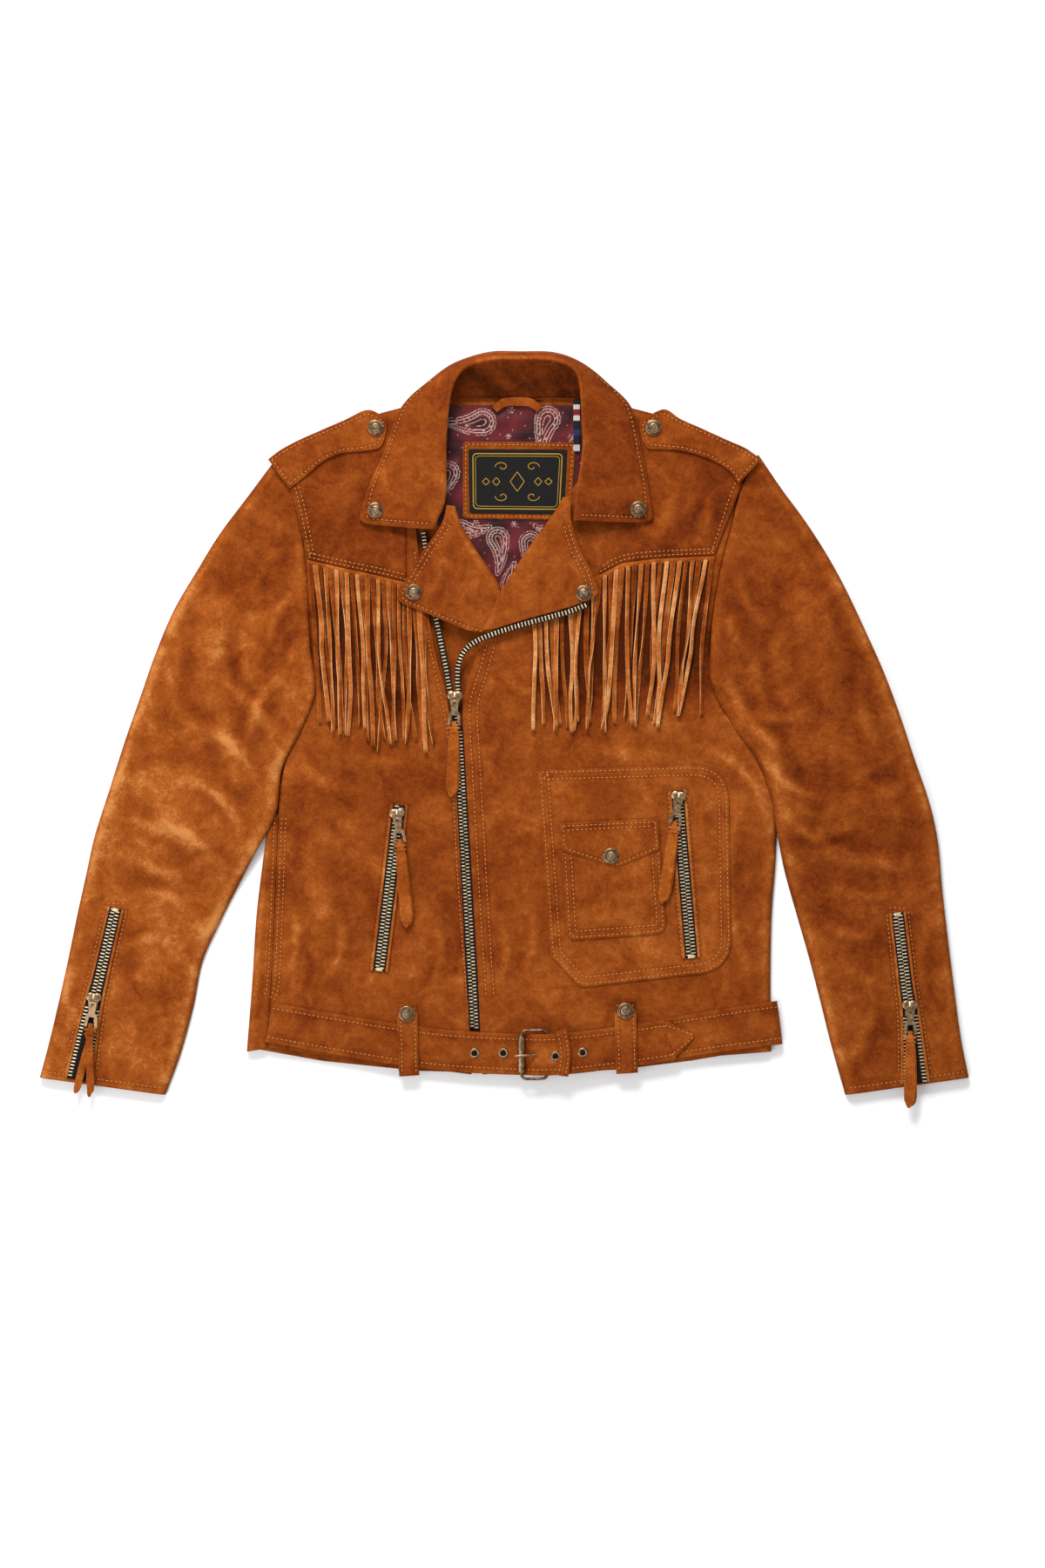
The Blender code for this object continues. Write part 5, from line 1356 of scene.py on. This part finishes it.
def zipPull(where, x, y, aheadX, aheadY, zipZ, length, look):
    ahead = Vector((aheadX, aheadY)).normalized()
    base = zipZ + gap
    dressMetal("slider_" + where, 0.6)
    dressMetal("pull_" + where, 0.66)
    parts = [], [], []
    wide, high = look["ear"], look["earHigh"]
    ear = ((0, 0, 0.4), (wide - 0.3, 0, 0.4), (wide, 0.4, 0.5), (wide, high - 0.5, 0.6),
           (wide - 0.5, high, 0.7), (0, high, 0.6))
    for asideBy in (-look["earOff"], look["earOff"]):
        # the round ears where the two chains go in
        p = placed(x, y, ahead, -5.2, asideBy)
        addLathe(*parts, p.x, p.y, base, ear, 24)
    # the bridge that the tab hangs from, low enough for the tab to turn back over it
    path = [(-8.2, 2.2), (-7.6, 3.0), (-6.2, 3.6), (-4.8, 3.8), (-3.8, 3.5)]
    name = camel(where)
    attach(makePiece("slider" + name + "Ears", antiqueBrass, *parts), cloth)
    parts, bars = ([], [], []), []
    for alongBy, up in path:
        p = placed(x, y, ahead, alongBy, 0)
        bars.append((p.x, p.y, base + up - 0.6))
    addBar(*parts, bars, [look["bridge"]] * len(bars), sides=12, shade=0.7)
    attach(makePiece("slider" + name + "Bridge", toothBrass, *parts), cloth)

    def step(alongBy, asideBy, high, width, thick):
        p = placed(x, y, ahead, alongBy, asideBy)
        return Step(p.x, p.y, zipZ + high, width, thick)

    body = "pull_" + where
    # the left cuff's two ends stand apart and are narrower, the others lie on each other
    end, swing, share = (length - 4, -6.5, 0.66) if where == "cuff_left" else (length, 0.0, 1.0)
    upper = [step(18.5, 0, 5.5, 3.6, 1.2), step(22, 0, 5.4, 4.6, 1.2), step(30, 0, 4.9, 7.6, 1.2),
             step(36, 0.2 + swing * 0.12, 4.3, 9.4 * share, 1.1),
             step(0.62 * length, 0.6 + swing * 0.5, 3.7, 10.4 * share, 1.1),
             step(end - 9, 1.0 + swing, 3.4, 10.4 * share, 1.1),
             step(end - 4, 1.6 + swing, 3.3, 7.0 * share, 1.1),
             step(end, 2.0 + swing * 1.1, 3.2, 2.2, 1.1)]
    lower = [step(24, 0, 3.9, 6.0, 1.1), step(36, -0.5 - swing * 0.12, 3.0, 9.2 * share, 1.1),
             step(0.6 * length, -0.6 - swing * 0.6, 2.35, 10.2 * share, 1.1),
             step(end - 8, -0.4 - swing * 1.1, 2.15, 9.6 * share, 1.1),
             step(end - 2, 1.2 - swing * 1.15, 2.1, 1.6, 1.1)]
    tail = strap("thong" + name + "Tail", upper, suedeCord, cell=2.0, hill=noHill, edge=0.45)
    settle(tail, body, "suede", "thong_" + where)
    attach(strap("thong" + name + "Under", lower, suedeCord, cell=2.0, hill=noHill, edge=0.45), body)
    # the knot: the strip drawn through its own slit
    parts = [], [], []
    for n, (alongBy, halfWide, radius) in enumerate(((25.0, 5.5, 1.6), (28.6, 5.2, 1.55))):
        bars, radii = [], []
        for k in range(11):
            t = k / 5 - 1
            p = placed(x, y, ahead, alongBy + 0.9 * t * t * (1 if n else -1) * 0.5, halfWide * t)
            bars.append((p.x, p.y, zipZ + 4.3 - 0.9 * t * t))
            radii.append(radius * (1 - 0.35 * t**4))
        addBar(*parts, bars, radii, sides=12, shade=0.55 - 0.1 * n)
    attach(makePiece("thong" + name + "Knot", suedeCord, *parts), body)


for where, (x, y, aheadX, aheadY, zipZ, length) in pulls.items():
    zipPull(where, x, y, aheadX, aheadY, zipZ, length, sliderLook)

print("lining")

liningLook = {
    "outline": ((106, -8, 16), (122, -28, 34), (200, -66, 84), (299, -66, 84)),
    "cell": 0.68, "line": 0.26, "across": 150,
    # the label's place, under which the lining lies flat
    "flat": (-42, 70, 190, 268),
    # a drop's length, the radii of its two ends and the bend of its tail, as shares of its size
    "long": 2.1, "ends": (0.62, 0.08), "bend": 0.42,
    # the small dots that fill what is left
    "dotApart": 13, "dotSkew": 0.35, "dotRadius": 0.55,
    # middle, size, turn in degrees and which way the tail curls
    "drops": (
        (-20, 283, 16, 112, 1), (40, 286, 15, 150, -1), (-52, 236, 14, 175, 1), (92, 262, 12, 300, 1),
        (90, 218, 12, 120, -1), (-6, 176, 13, 205, 1), (24, 172, 13, 165, -1), (-40, 184, 11, 250, -1),
        (56, 184, 11, 110, 1), (4, 128, 10, 15, 1), (-22, 142, 9, 120, -1), (30, 140, 9, 240, 1),
    ),
    "flowers": (
        (6, 294, 3.0), (62, 268, 3.6), (-56, 268, 3.4), (4, 270, 2.4), (9, 189, 2.8), (-26, 190, 2.8),
        (44, 158, 3.4), (-34, 158, 3.2), (9, 152, 2.6), (20, 120, 2.4), (-66, 205, 3.4), (74, 200, 3.2),
        (76, 290, 3.0), (-66, 290, 3.0),
    ),
}


def dropDistance(u, v, r1, r2, long):
    # signed distance to a drop: a round end at the origin and a narrow one at (0, long)
    u = np.abs(u)
    b = (r1 - r2) / long
    a = math.sqrt(1 - b * b)
    k = -b * u + a * v
    sides = np.where(k > a * long, np.hypot(u, v - long) - r2, a * u + b * v - r1)
    return np.where(k < 0, np.hypot(u, v) - r1, sides)


def stroke(distance, halfWidth, soft=0.3):
    return np.clip((halfWidth + soft / 2 - np.abs(distance)) / soft, 0, 1)


def paisley(x, y, look):
    shown = np.zeros_like(x)
    taken = np.full_like(x, 99.0)
    line = look["line"]
    for cx, cy, size, turnBy, curl in look["drops"]:
        turn = math.radians(turnBy)
        u = (x - cx) * math.cos(turn) + (y - cy) * math.sin(turn)
        v = -(x - cx) * math.sin(turn) + (y - cy) * math.cos(turn)
        long = look["long"] * size
        bent = u - curl * look["bend"] * np.clip(v, 0, None) ** 2 / long
        d = dropDistance(bent, v, size * look["ends"][0], size * look["ends"][1], long)
        free = taken > 1.2
        around = np.arctan2(v, u)
        scallop = 0.9 * np.abs(np.sin(around * 11 + v * 0.35))
        heart = dropDistance(bent * 1.3, v - 0.6, size * 0.24, size * 0.05, size * 0.9)
        marks = np.maximum.reduce([
            stroke(d, line * 1.2), stroke(d + 2.9, line * 0.9), stroke(d - 1.7 - scallop, line * 0.8),
            np.where((d > -2.2) & (d < -0.9), np.clip(2.4 * np.sin(around * 13 + v * 0.8) - 1.5, 0, 1), 0),
            stroke(heart, line) * (d < -3.4),
        ])
        shown = np.where(free, np.maximum(shown, marks * (d < 3.2)), shown)
        taken = np.minimum(taken, d - 1.5)
    for cx, cy, size in look["flowers"]:
        u, v = x - cx, y - cy
        reach, around = np.hypot(u, v), np.arctan2(v, u)
        edge = reach - size * (0.72 + 0.28 * np.cos(6 * around))
        flower = np.maximum(stroke(edge, line * 0.8), stroke(reach - size * 0.25, line * 0.7))
        shown = np.where(taken > 0.5, np.maximum(shown, flower), shown)
    apart, skew = look["dotApart"], look["dotSkew"]
    cellU, cellV = (x + skew * y) / apart, (y - skew * x) / apart
    dots = np.hypot(cellU - np.round(cellU), cellV - np.round(cellV)) * apart
    return np.where(taken > 3.0, np.maximum(shown, np.clip((look["dotRadius"] - dots) / 0.3, 0, 1)), shown)


def lining(look):
    sides = np.array(look["outline"], float)
    ys = np.arange(sides[0, 0], sides[-1, 0], look["cell"])
    left, right = np.interp(ys, sides[:, 0], sides[:, 1]), np.interp(ys, sides[:, 0], sides[:, 2])
    share = np.linspace(0, 1, round(look["across"] / look["cell"]))[None, :]
    x = left[:, None] * (1 - share) + right[:, None] * share
    y = np.repeat(ys[:, None], x.shape[1], axis=1)
    puckers = 0.35 * waves(x, y, 51, 9) + 0.25 * waves(x, y, 52, 20)
    puckers += 0.5 * np.clip((y - 284) / 14, 0, 1) * np.sin(x / 3.1 + np.sin(x / 7))
    west, east, south, north = look["flat"]
    flat = (y > south) & (y < north) & (x > west) & (x < east)
    puckers = np.clip(puckers, -0.35, 1.2) * np.where(flat, 0.15, 1)
    z = layers["liningTop"] + puckers
    grid = np.stack([x, y, z], axis=2)
    rows, columns = x.shape
    a = (np.arange(rows - 1)[:, None] * columns + np.arange(columns - 1)[None, :]).ravel()
    faces = np.stack([a, a + 1, a + 1 + columns, a + columns], 1).tolist()
    made = makePiece("backLiningSatin", satin, grid.reshape(-1, 3), faces, paisley(x, y, look).ravel(),
                     attribute="print")
    return settle(made, cloth, "lining_satin", "back_lining")


lining(liningLook)

print("label and hanger")

labelFrame = rounded(((-38, 194), (61, 193), (66, 264), (-38, 265)), 3, 6)
labelOutline = rounded(((-32, 199), (55, 198), (58, 257.5), (-33, 258)), 1.5, 4)
labelFramePiece = asSuede(paddedPatch("labelFrameShell", labelFrame, layers["liningTop"] + gap,
                                      layers["flapTop"], hill=noHill, spacing=2.0), "label_patch")
labelTop = layers["flapTop"] + 0.7
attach(paddedPatch("wovenLabelPatch", labelOutline, layers["flapTop"] - 0.1, labelTop, blackLabel,
                    hill=noHill, edge=0.6, spacing=2.0), cloth)


def ribbonAlong(points, faces, values, line, width, low, high, closed=False):
    # a flat raised band of embroidery along a line
    line = np.array(line, float)
    side = -leftOf(line, closed) * width / 2
    rings = []
    for p, s in zip(line, side):
        rings.append([(p[0] - s[0], p[1] - s[1], low), (p[0] - s[0] * 0.7, p[1] - s[1] * 0.7, high),
                      (p[0] + s[0] * 0.7, p[1] + s[1] * 0.7, high), (p[0] + s[0], p[1] + s[1], low)])
    if closed:
        rings.append(rings[0])
    addTube(points, faces, values, rings, [[0.5] * 4] * len(rings))


def embroidery():
    # a plain ornament: two frames, a chain of diamonds and four scrolls
    parts = [], [], []
    low, high = labelTop - 0.15, labelTop + 0.3
    for inset, width in ((4.2, 1.1), (6.4, 0.6)):
        frameLine = ((-32.5 + inset, 199 + inset), (55 - inset, 198.3 + inset),
                     (57.6 - inset, 257.6 - inset), (-33 + inset, 258 - inset))
        ribbonAlong(*parts, spread(rounded(frameLine, 4, 6), 1.5, True), width, low, high, True)
    middleX, middleY = 12, 228
    for k in range(-3, 4):
        cx, cy = middleX + 9.6 * k, middleY
        wide, tall = (6.5, 9.0) if k == 0 else (3.4, 5.0 - 0.6 * abs(k))
        diamond = ((cx - wide, cy), (cx, cy - tall), (cx + wide, cy), (cx, cy + tall))
        if k == 0 or abs(k) > 1:
            ribbonAlong(*parts, spread(diamond, 0.9, True), 0.8, low, high, True)
    for way in (-1, 1):
        for up in (-1, 1):
            # a scroll that winds in; it is flatter than it is wide
            curl = [(middleX + way * (14 + (6.5 - 0.36 * t) * math.cos(t * 0.42)),
                     middleY + up * (13.5 + (6.5 - 0.36 * t) * 0.75 * math.sin(t * 0.42))) for t in range(16)]
            ribbonAlong(*parts, curveThrough(curl, 3), 0.8, low, high)
    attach(makePiece("labelEmbroidery", goldThread, *parts), cloth)


embroidery()

loopTop = layers["liningTop"] + 3.2
settle(strap("hangerLoopBand", stepsOf(
    1.5, (-9, 294, loopTop - 0.6, 6.5), (-3.5, 298.6, loopTop - 0.1, 7.6), (1.5, 301, loopTop, 8.0),
    (12, 301.6, loopTop, 8.0), (22.5, 301, loopTop, 8.0), (27.5, 298.6, loopTop - 0.1, 7.6),
    (33, 294, loopTop - 0.6, 6.5),
), cell=1.6, hill=noHill, edge=0.5), cloth, "suede", "hanger_loop")

tagLook = {"x": 66.6, "wide": 6.0, "bands": (
    (305, 299, "#15141A"), (299, 294.5, "#B5ADA6"), (294.5, 289, "#6E1A20"), (289, 284, "#B5ADA6"),
    (284, 276, "#15141A"), (276, 270, "#1B2A50"), (270, 262, "#15141A"), (262, 256, "#A9A19B"))}
for n, (upper, lower, colour) in enumerate(tagLook["bands"]):
    bandZ = 6.2 if upper < 272 else 6.2 - (upper - 272) * 0.03
    left, right = tagLook["x"] - tagLook["wide"] / 2, tagLook["x"] + tagLook["wide"] / 2
    outline = ((left, lower), (right, lower), (right, upper), (left, upper))
    weave = tapeMaterial("wovenTag" + str(n), colour, colour, 0.8)
    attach(paddedPatch("sideTagBand" + str(n), outline, bandZ - 0.7, bandZ, weave, hill=noHill, edge=0.3,
                        spacing=1.5), cloth)

print("seams")


def beside(line, off):
    # a line kept at a distance to the left of another
    fine = spread(smoothed(line, 6), 4.0)
    return fine + leftOf(fine) * off


def within(outline, inset):
    # a closed line kept inside an outline
    fine = spread(outline, 2.0, closed=True)
    step = leftOf(fine, closed=True) * inset
    moved = fine + step
    middle = fine.mean(axis=0)
    if np.linalg.norm(moved - middle, axis=1).mean() > np.linalg.norm(fine - middle, axis=1).mean():
        moved = fine - step
    return np.vstack([moved, moved[:1]])


# the stitches are drawn a little longer than real, so that they show one by one
stitchLook = {"pitch": 4.1, "long": 2.4, "wide": 0.92, "sunk": 0.06, "groove": 0.45, "grooveHalf": 2.8,
              "dark": 0.14, "steep": 0.55, "clear": 0.2}


def pressGroove(piece, lines, look):
    # the cloth dips a little along its sewing, and is painted darker there as shade in the groove
    mesh = piece.data
    count = len(mesh.vertices)
    places = np.zeros(count * 3)
    mesh.vertices.foreach_get("co", places)
    places = places.reshape(-1, 3)
    sewn = np.vstack([spread(line, 1.0) for line in lines]) * mm
    near = np.full(count, 1.0)
    chunk = 200
    for start in range(0, len(sewn), chunk):
        part = sewn[start:start + chunk]
        low, high = part.min(axis=0) - 4 * mm, part.max(axis=0) + 4 * mm
        inside = np.where(((places[:, :2] > low) & (places[:, :2] < high)).all(axis=1))[0]
        if len(inside):
            gaps = np.linalg.norm(places[inside, None, :2] - part[None], axis=2).min(axis=1)
            near[inside] = np.minimum(near[inside], gaps)
    dip = np.cos(np.clip(near / (look["grooveHalf"] * mm), 0, 1) * math.pi / 2) ** 2
    places[:, 2] -= look["groove"] * mm * dip
    mesh.vertices.foreach_set("co", places.ravel())
    layer = mesh.attributes["wearAndShade"]
    colours = np.zeros(count * 4)
    layer.data.foreach_get("color", colours)
    colours = colours.reshape(-1, 4)
    # painted shade along the groove
    colours[:, :3] -= (look["dark"] * dip)[:, None]
    layer.data.foreach_set("color", colours.ravel())
    mesh.update()


def sew(name, piece, lines, hidden=()):
    # rows of single stitches lying on the piece, left out where another piece covers them
    look = stitchLook
    pressGroove(piece, lines, look)
    onPiece = surfaceOf(piece)
    onCover = surfaceOf(*hidden) if hidden else None
    parts = [], [], []
    chance = random.Random(len(name) * 7)
    for line in lines:
        fine = spread(line, look["pitch"])
        for start, end in zip(fine, fine[1:]):
            middle = (start + end) / 2
            hit = onPiece(*middle)
            if hit is None or hit[1].z < look["steep"]:
                continue
            place, normal = hit
            if onCover:
                cover = onCover(*middle)
                if cover and cover[0].z > place.z + look["clear"]:
                    continue
            ahead = Vector((*(end - start), 0)).normalized()
            ahead = (ahead - normal * ahead.dot(normal)).normalized()
            ahead = (ahead + normal.cross(ahead) * chance.uniform(-0.09, 0.09)).normalized()
            side = normal.cross(ahead)
            half = look["long"] / 2 * chance.uniform(0.9, 1.05)
            rings = []
            for t, thick in ((-1, 0.35), (-0.72, 0.9), (0, 1.0), (0.72, 0.9), (1, 0.35)):
                centre = place + ahead * (half * t) + normal * (0.26 * (1 - t * t) - look["sunk"])
                radius = look["wide"] / 2 * thick
                rings.append([centre + (side * math.cos(turn) + normal * math.sin(turn) * 0.8) * radius
                              for turn in [math.tau * k / 6 for k in range(6)]])
            addTube(*parts, rings, [[0.5] * 6] * len(rings))
    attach(makePiece(name, thread, *parts), cloth)


def allBeside(line, *offs):
    return [beside(line, off) for off in offs]


def roundSlot(where, off):
    # the seam round a zip's slot
    line = [s[:2] for s in zips[where]["steps"]]
    return within([tuple(p) for p in (*beside(line, off), *beside(line, -off)[::-1])], 0.2)


def tabLines(rows, inset):
    left = [(r.leftX, r.leftY) for r in rows]
    right = [(r.rightX, r.rightY) for r in reversed(rows)]
    return [within(left + right, inset)]


# a corner of the collar has three sections close together, and its sewing needs one of them
collarRow = []
for n, s in enumerate(collarLook["sections"]):
    if n not in (1, 2, 16, 17):
        inward = Vector((s.rollX - s.edgeX, s.rollY - s.edgeY))
        p = Vector((s.edgeX, s.edgeY)) + inward.normalized() * 4.2
        collarRow.append((p.x, p.y))
collarRow[0], collarRow[-1] = (-126.0, 193.4), (130.0, 194.6)
sew("collarStitches", collarPiece, [
    curveThrough(collarRow, 6),
    [(-122, 192.9), (-100, 191.2), (-69, 188.6)],
    [(126, 194.4), (100, 195.4), (70, 196.6)],
])

leftOut = [(-56, 192), (-63, 180), (-75, 163), (-87, 143), (-97, 125)]
leftLow = [(-97, 121), (-95, 117), (-65, 104), (-34, 91), (-20, 87)]
rightOut = [(62, 189), (69, 166), (81, 142), (85, 124)]
sew("lapelLeftStitches", lapelLeftPiece,
    allBeside(leftOut, 3.0, 7.4) + allBeside(leftLow, 3.2), (collarPiece,))
sew("lapelRightStitches", lapelRightPiece, allBeside(rightOut, -3.2, -7.6), (collarPiece,))

holeLeft = [(-182, 158), (-187, 185), (-193, 212), (-203, 246)]
holeRight = [(193.5, 161), (203, 190), (214, 222), (227, 248)]
sew("yokeLeftStitches", yokeLeftPiece,
    allBeside(fringes["left"]["seam"], 1.8, 5.6) + allBeside(holeLeft, -3.4, -7.4),
    (collarPiece, lapelLeftPiece, epauletteLeftPiece))
sew("yokeRightStitches", yokeRightPiece,
    allBeside(fringes["right"]["seam"], -1.8, -5.6) + allBeside(holeRight, 3.4),
    (collarPiece, lapelRightPiece, epauletteRightPiece))
for side, piece in (("left", epauletteLeftPiece), ("right", epauletteRightPiece)):
    sew("epaulette" + side.title() + "Stitches", piece, tabLines(epaulettes[side], 3.0), (collarPiece,))

sew("patchStitches", patchPiece,
    [within(patchOutline, 2.4), within(patchOutline, 8.8), roundSlot("pocket_right", 8.6)],
    (pouchPiece, flapPiece))
sew("pouchStitches", pouchPiece, [within(pouchOutline, 2.6), within(pouchOutline, 8.0)], (flapPiece,))
sew("flapStitches", flapPiece, [within(flapOutline, 2.8), [(57, -92.5), (98, -90.4), (135, -88.6)]])

frontEdgeLeft = [(-27, -245), (-33, -170), (-37.5, -100), (-41.5, -30), (-49.5, 26), (-57.5, 60),
                 (-64.5, 95), (-75, 165)]
frontEdgeRight = [(-21, -245), (-26, -170), (-30, -100), (-34, -30), (-36, 22), (-27, 55), (-20, 80)]
sideSeam = [(-218.5, -246), (-214.5, -232), (-211.5, -170), (-209.5, -114), (-208, -80)]
onFront = (lapelLeftPiece, lapelRightPiece, sleeveLeftPiece, sleeveRightPiece, patchPiece, beltPiece,
           loopLeftPiece, loopRightPiece, yokeLeftPiece, yokeRightPiece, beltRightPiece, *fringePieces)
frontLines = [beside(frontEdgeLeft, 7.4), roundSlot("pocket_left", 8.2), *allBeside(sideSeam, -3.4, -7.4)]
sew("frontLeftStitches", frontLeftPiece, frontLines, onFront)
sew("frontRightStitches", frontRightPiece, allBeside(frontEdgeRight, -4.4, -11.5), onFront)
sew("sidePanelStitches", sidePanelPiece, allBeside(sideSeam, 3.0), (beltPiece,))


def strapRow(steps, share):
    # a row of sewing along a strap, at a share of its half width
    fine = np.array(smoothed(steps, 8))
    return fine[:, :2] - leftOf(fine[:, :2]) * (fine[:, 3:4] / 2 * share)


overBelt = (loopLeftPiece, loopRightPiece, keeperPiece)
rowShares = (-0.72, 0.72)
sew("beltStitches", beltPiece, [strapRow(beltSteps["strap"], share) for share in rowShares], overBelt)
sew("beltRightStitches", beltRightPiece, [strapRow(beltSteps["right"], share)[8:] for share in rowShares],
    (beltPiece, *overBelt))
for name, piece, x, yTop, yLow, half in (("loopLeft", loopLeftPiece, -88.6, -254.5, -315, 6.6),
                                         ("loopRight", loopRightPiece, 111.4, -251.5, -312.5, 7.4)):
    sew(name + "Stitches", piece, [[(x - half, yTop), (x - half + 1.6, yLow)],
                                   [(x + half - 0.6, yTop), (x + half + 1.2, yLow)]])
keeperLine = [(52, -277), (53.6, -282), (55.5, -298), (53.8, -313), (52, -319)]
sew("keeperStitches", keeperPiece, allBeside(keeperLine, 3.2, -3.2))
sew("labelFrameStitches", labelFramePiece, [within(labelFrame, 2.6)],
    (collarPiece, lapelLeftPiece, lapelRightPiece))


def alongOpening(steps, way):
    # the sewing beside a zip, which opens with it
    fine = np.array(smoothed([(s.x, s.y, s.width / 2 + 4.4) for s in steps], 8))
    return (fine[:, :2] + leftOf(fine[:, :2]) * fine[:, 2:3] * way)[:-2]


for name, piece, rows, where in (("sleeveLeft", sleeveLeftPiece, sleeveLeft, "cuff_left"),
                                 ("sleeveRight", sleeveRightPiece, sleeveRight, "cuff_right")):
    steps = zips[where]["steps"]
    head = steps[0]
    topRow = [(head.x - 8.4, head.y + 4), (head.x + 8.4, head.y + 4)]
    lastRow = rows[-1]
    hemLeft, hemRight = Vector((lastRow.leftX, lastRow.leftY)), Vector((lastRow.rightX, lastRow.rightY))
    hemLine = [tuple(hemLeft.lerp(hemRight, t)) for t in (0.03, 0.33, 0.66, 0.97)]
    lines = [alongOpening(steps, 1), alongOpening(steps, -1), topRow, beside(hemLine, 6.0)]
    sew(name + "Stitches", piece, lines, (zipTapes[where],))

print("thong names")


for where, (x, y, aheadX, aheadY, zipZ, length) in pulls.items():
    # a thong is one strip, drawn through the tab and its own slit, and the left cuff's tapers; they are drawn
    # with their pulls, and here only each one's name is made
    name = "thong" + camel(where)

print("floor, lights and camera")

setting = {
    "floor": 4.0,
    "cameraX": 16.8, "cameraY": -50.0, "cameraHigh": 3410.0, "lens": 85.0,
    "skylight": 0.50,
    "above": {"place": (-0.40, 2.0, 1.6), "size": 0.9, "power": 72},
    "below": {"place": (-1.2, -0.9, 1.5), "size": 1.6, "power": 22},
}


def areaLight(name, place, size, power):
    # aimed at the frame's origin
    lamp = bpy.data.lights.new(name, "AREA")
    lamp.energy = power
    lamp.size = size
    made = bpy.data.objects.new(name, lamp)
    bpy.context.scene.collection.objects.link(made)
    made.location = place
    made.rotation_euler = (-Vector(place)).to_track_quat("-Z", "Y").to_euler()


half = setting["floor"] / 2
floorMesh = bpy.data.meshes.new("paperFloor")
corners = [(-half, -half, 0), (half, -half, 0), (half, half, 0), (-half, half, 0)]
floorMesh.from_pydata(corners, [], [(0, 1, 2, 3)])
floorMesh.materials.append(floorMaterial())
floor = bpy.data.objects.new("paperFloor", floorMesh)
bpy.context.scene.collection.objects.link(floor)
floor.location.z = -0.2 * mm

areaLight("windowLight", **setting["above"])
areaLight("fillLight", **setting["below"])
world = bpy.data.worlds.new("studio")
bpy.context.scene.world = world
world.use_nodes = True
world.node_tree.nodes["Background"].inputs["Color"].default_value = linear("#FFFFFF")
world.node_tree.nodes["Background"].inputs["Strength"].default_value = setting["skylight"]
bpy.context.scene.view_settings.view_transform = "Standard"

lens = bpy.data.cameras.new("overhead")
lens.lens = setting["lens"]
lens.sensor_fit = "VERTICAL"
lens.sensor_height = 36.0
camera = bpy.data.objects.new("overhead", lens)
bpy.context.scene.collection.objects.link(camera)
camera.location = (setting["cameraX"] * mm, setting["cameraY"] * mm, setting["cameraHigh"] * mm)
bpy.context.scene.camera = camera
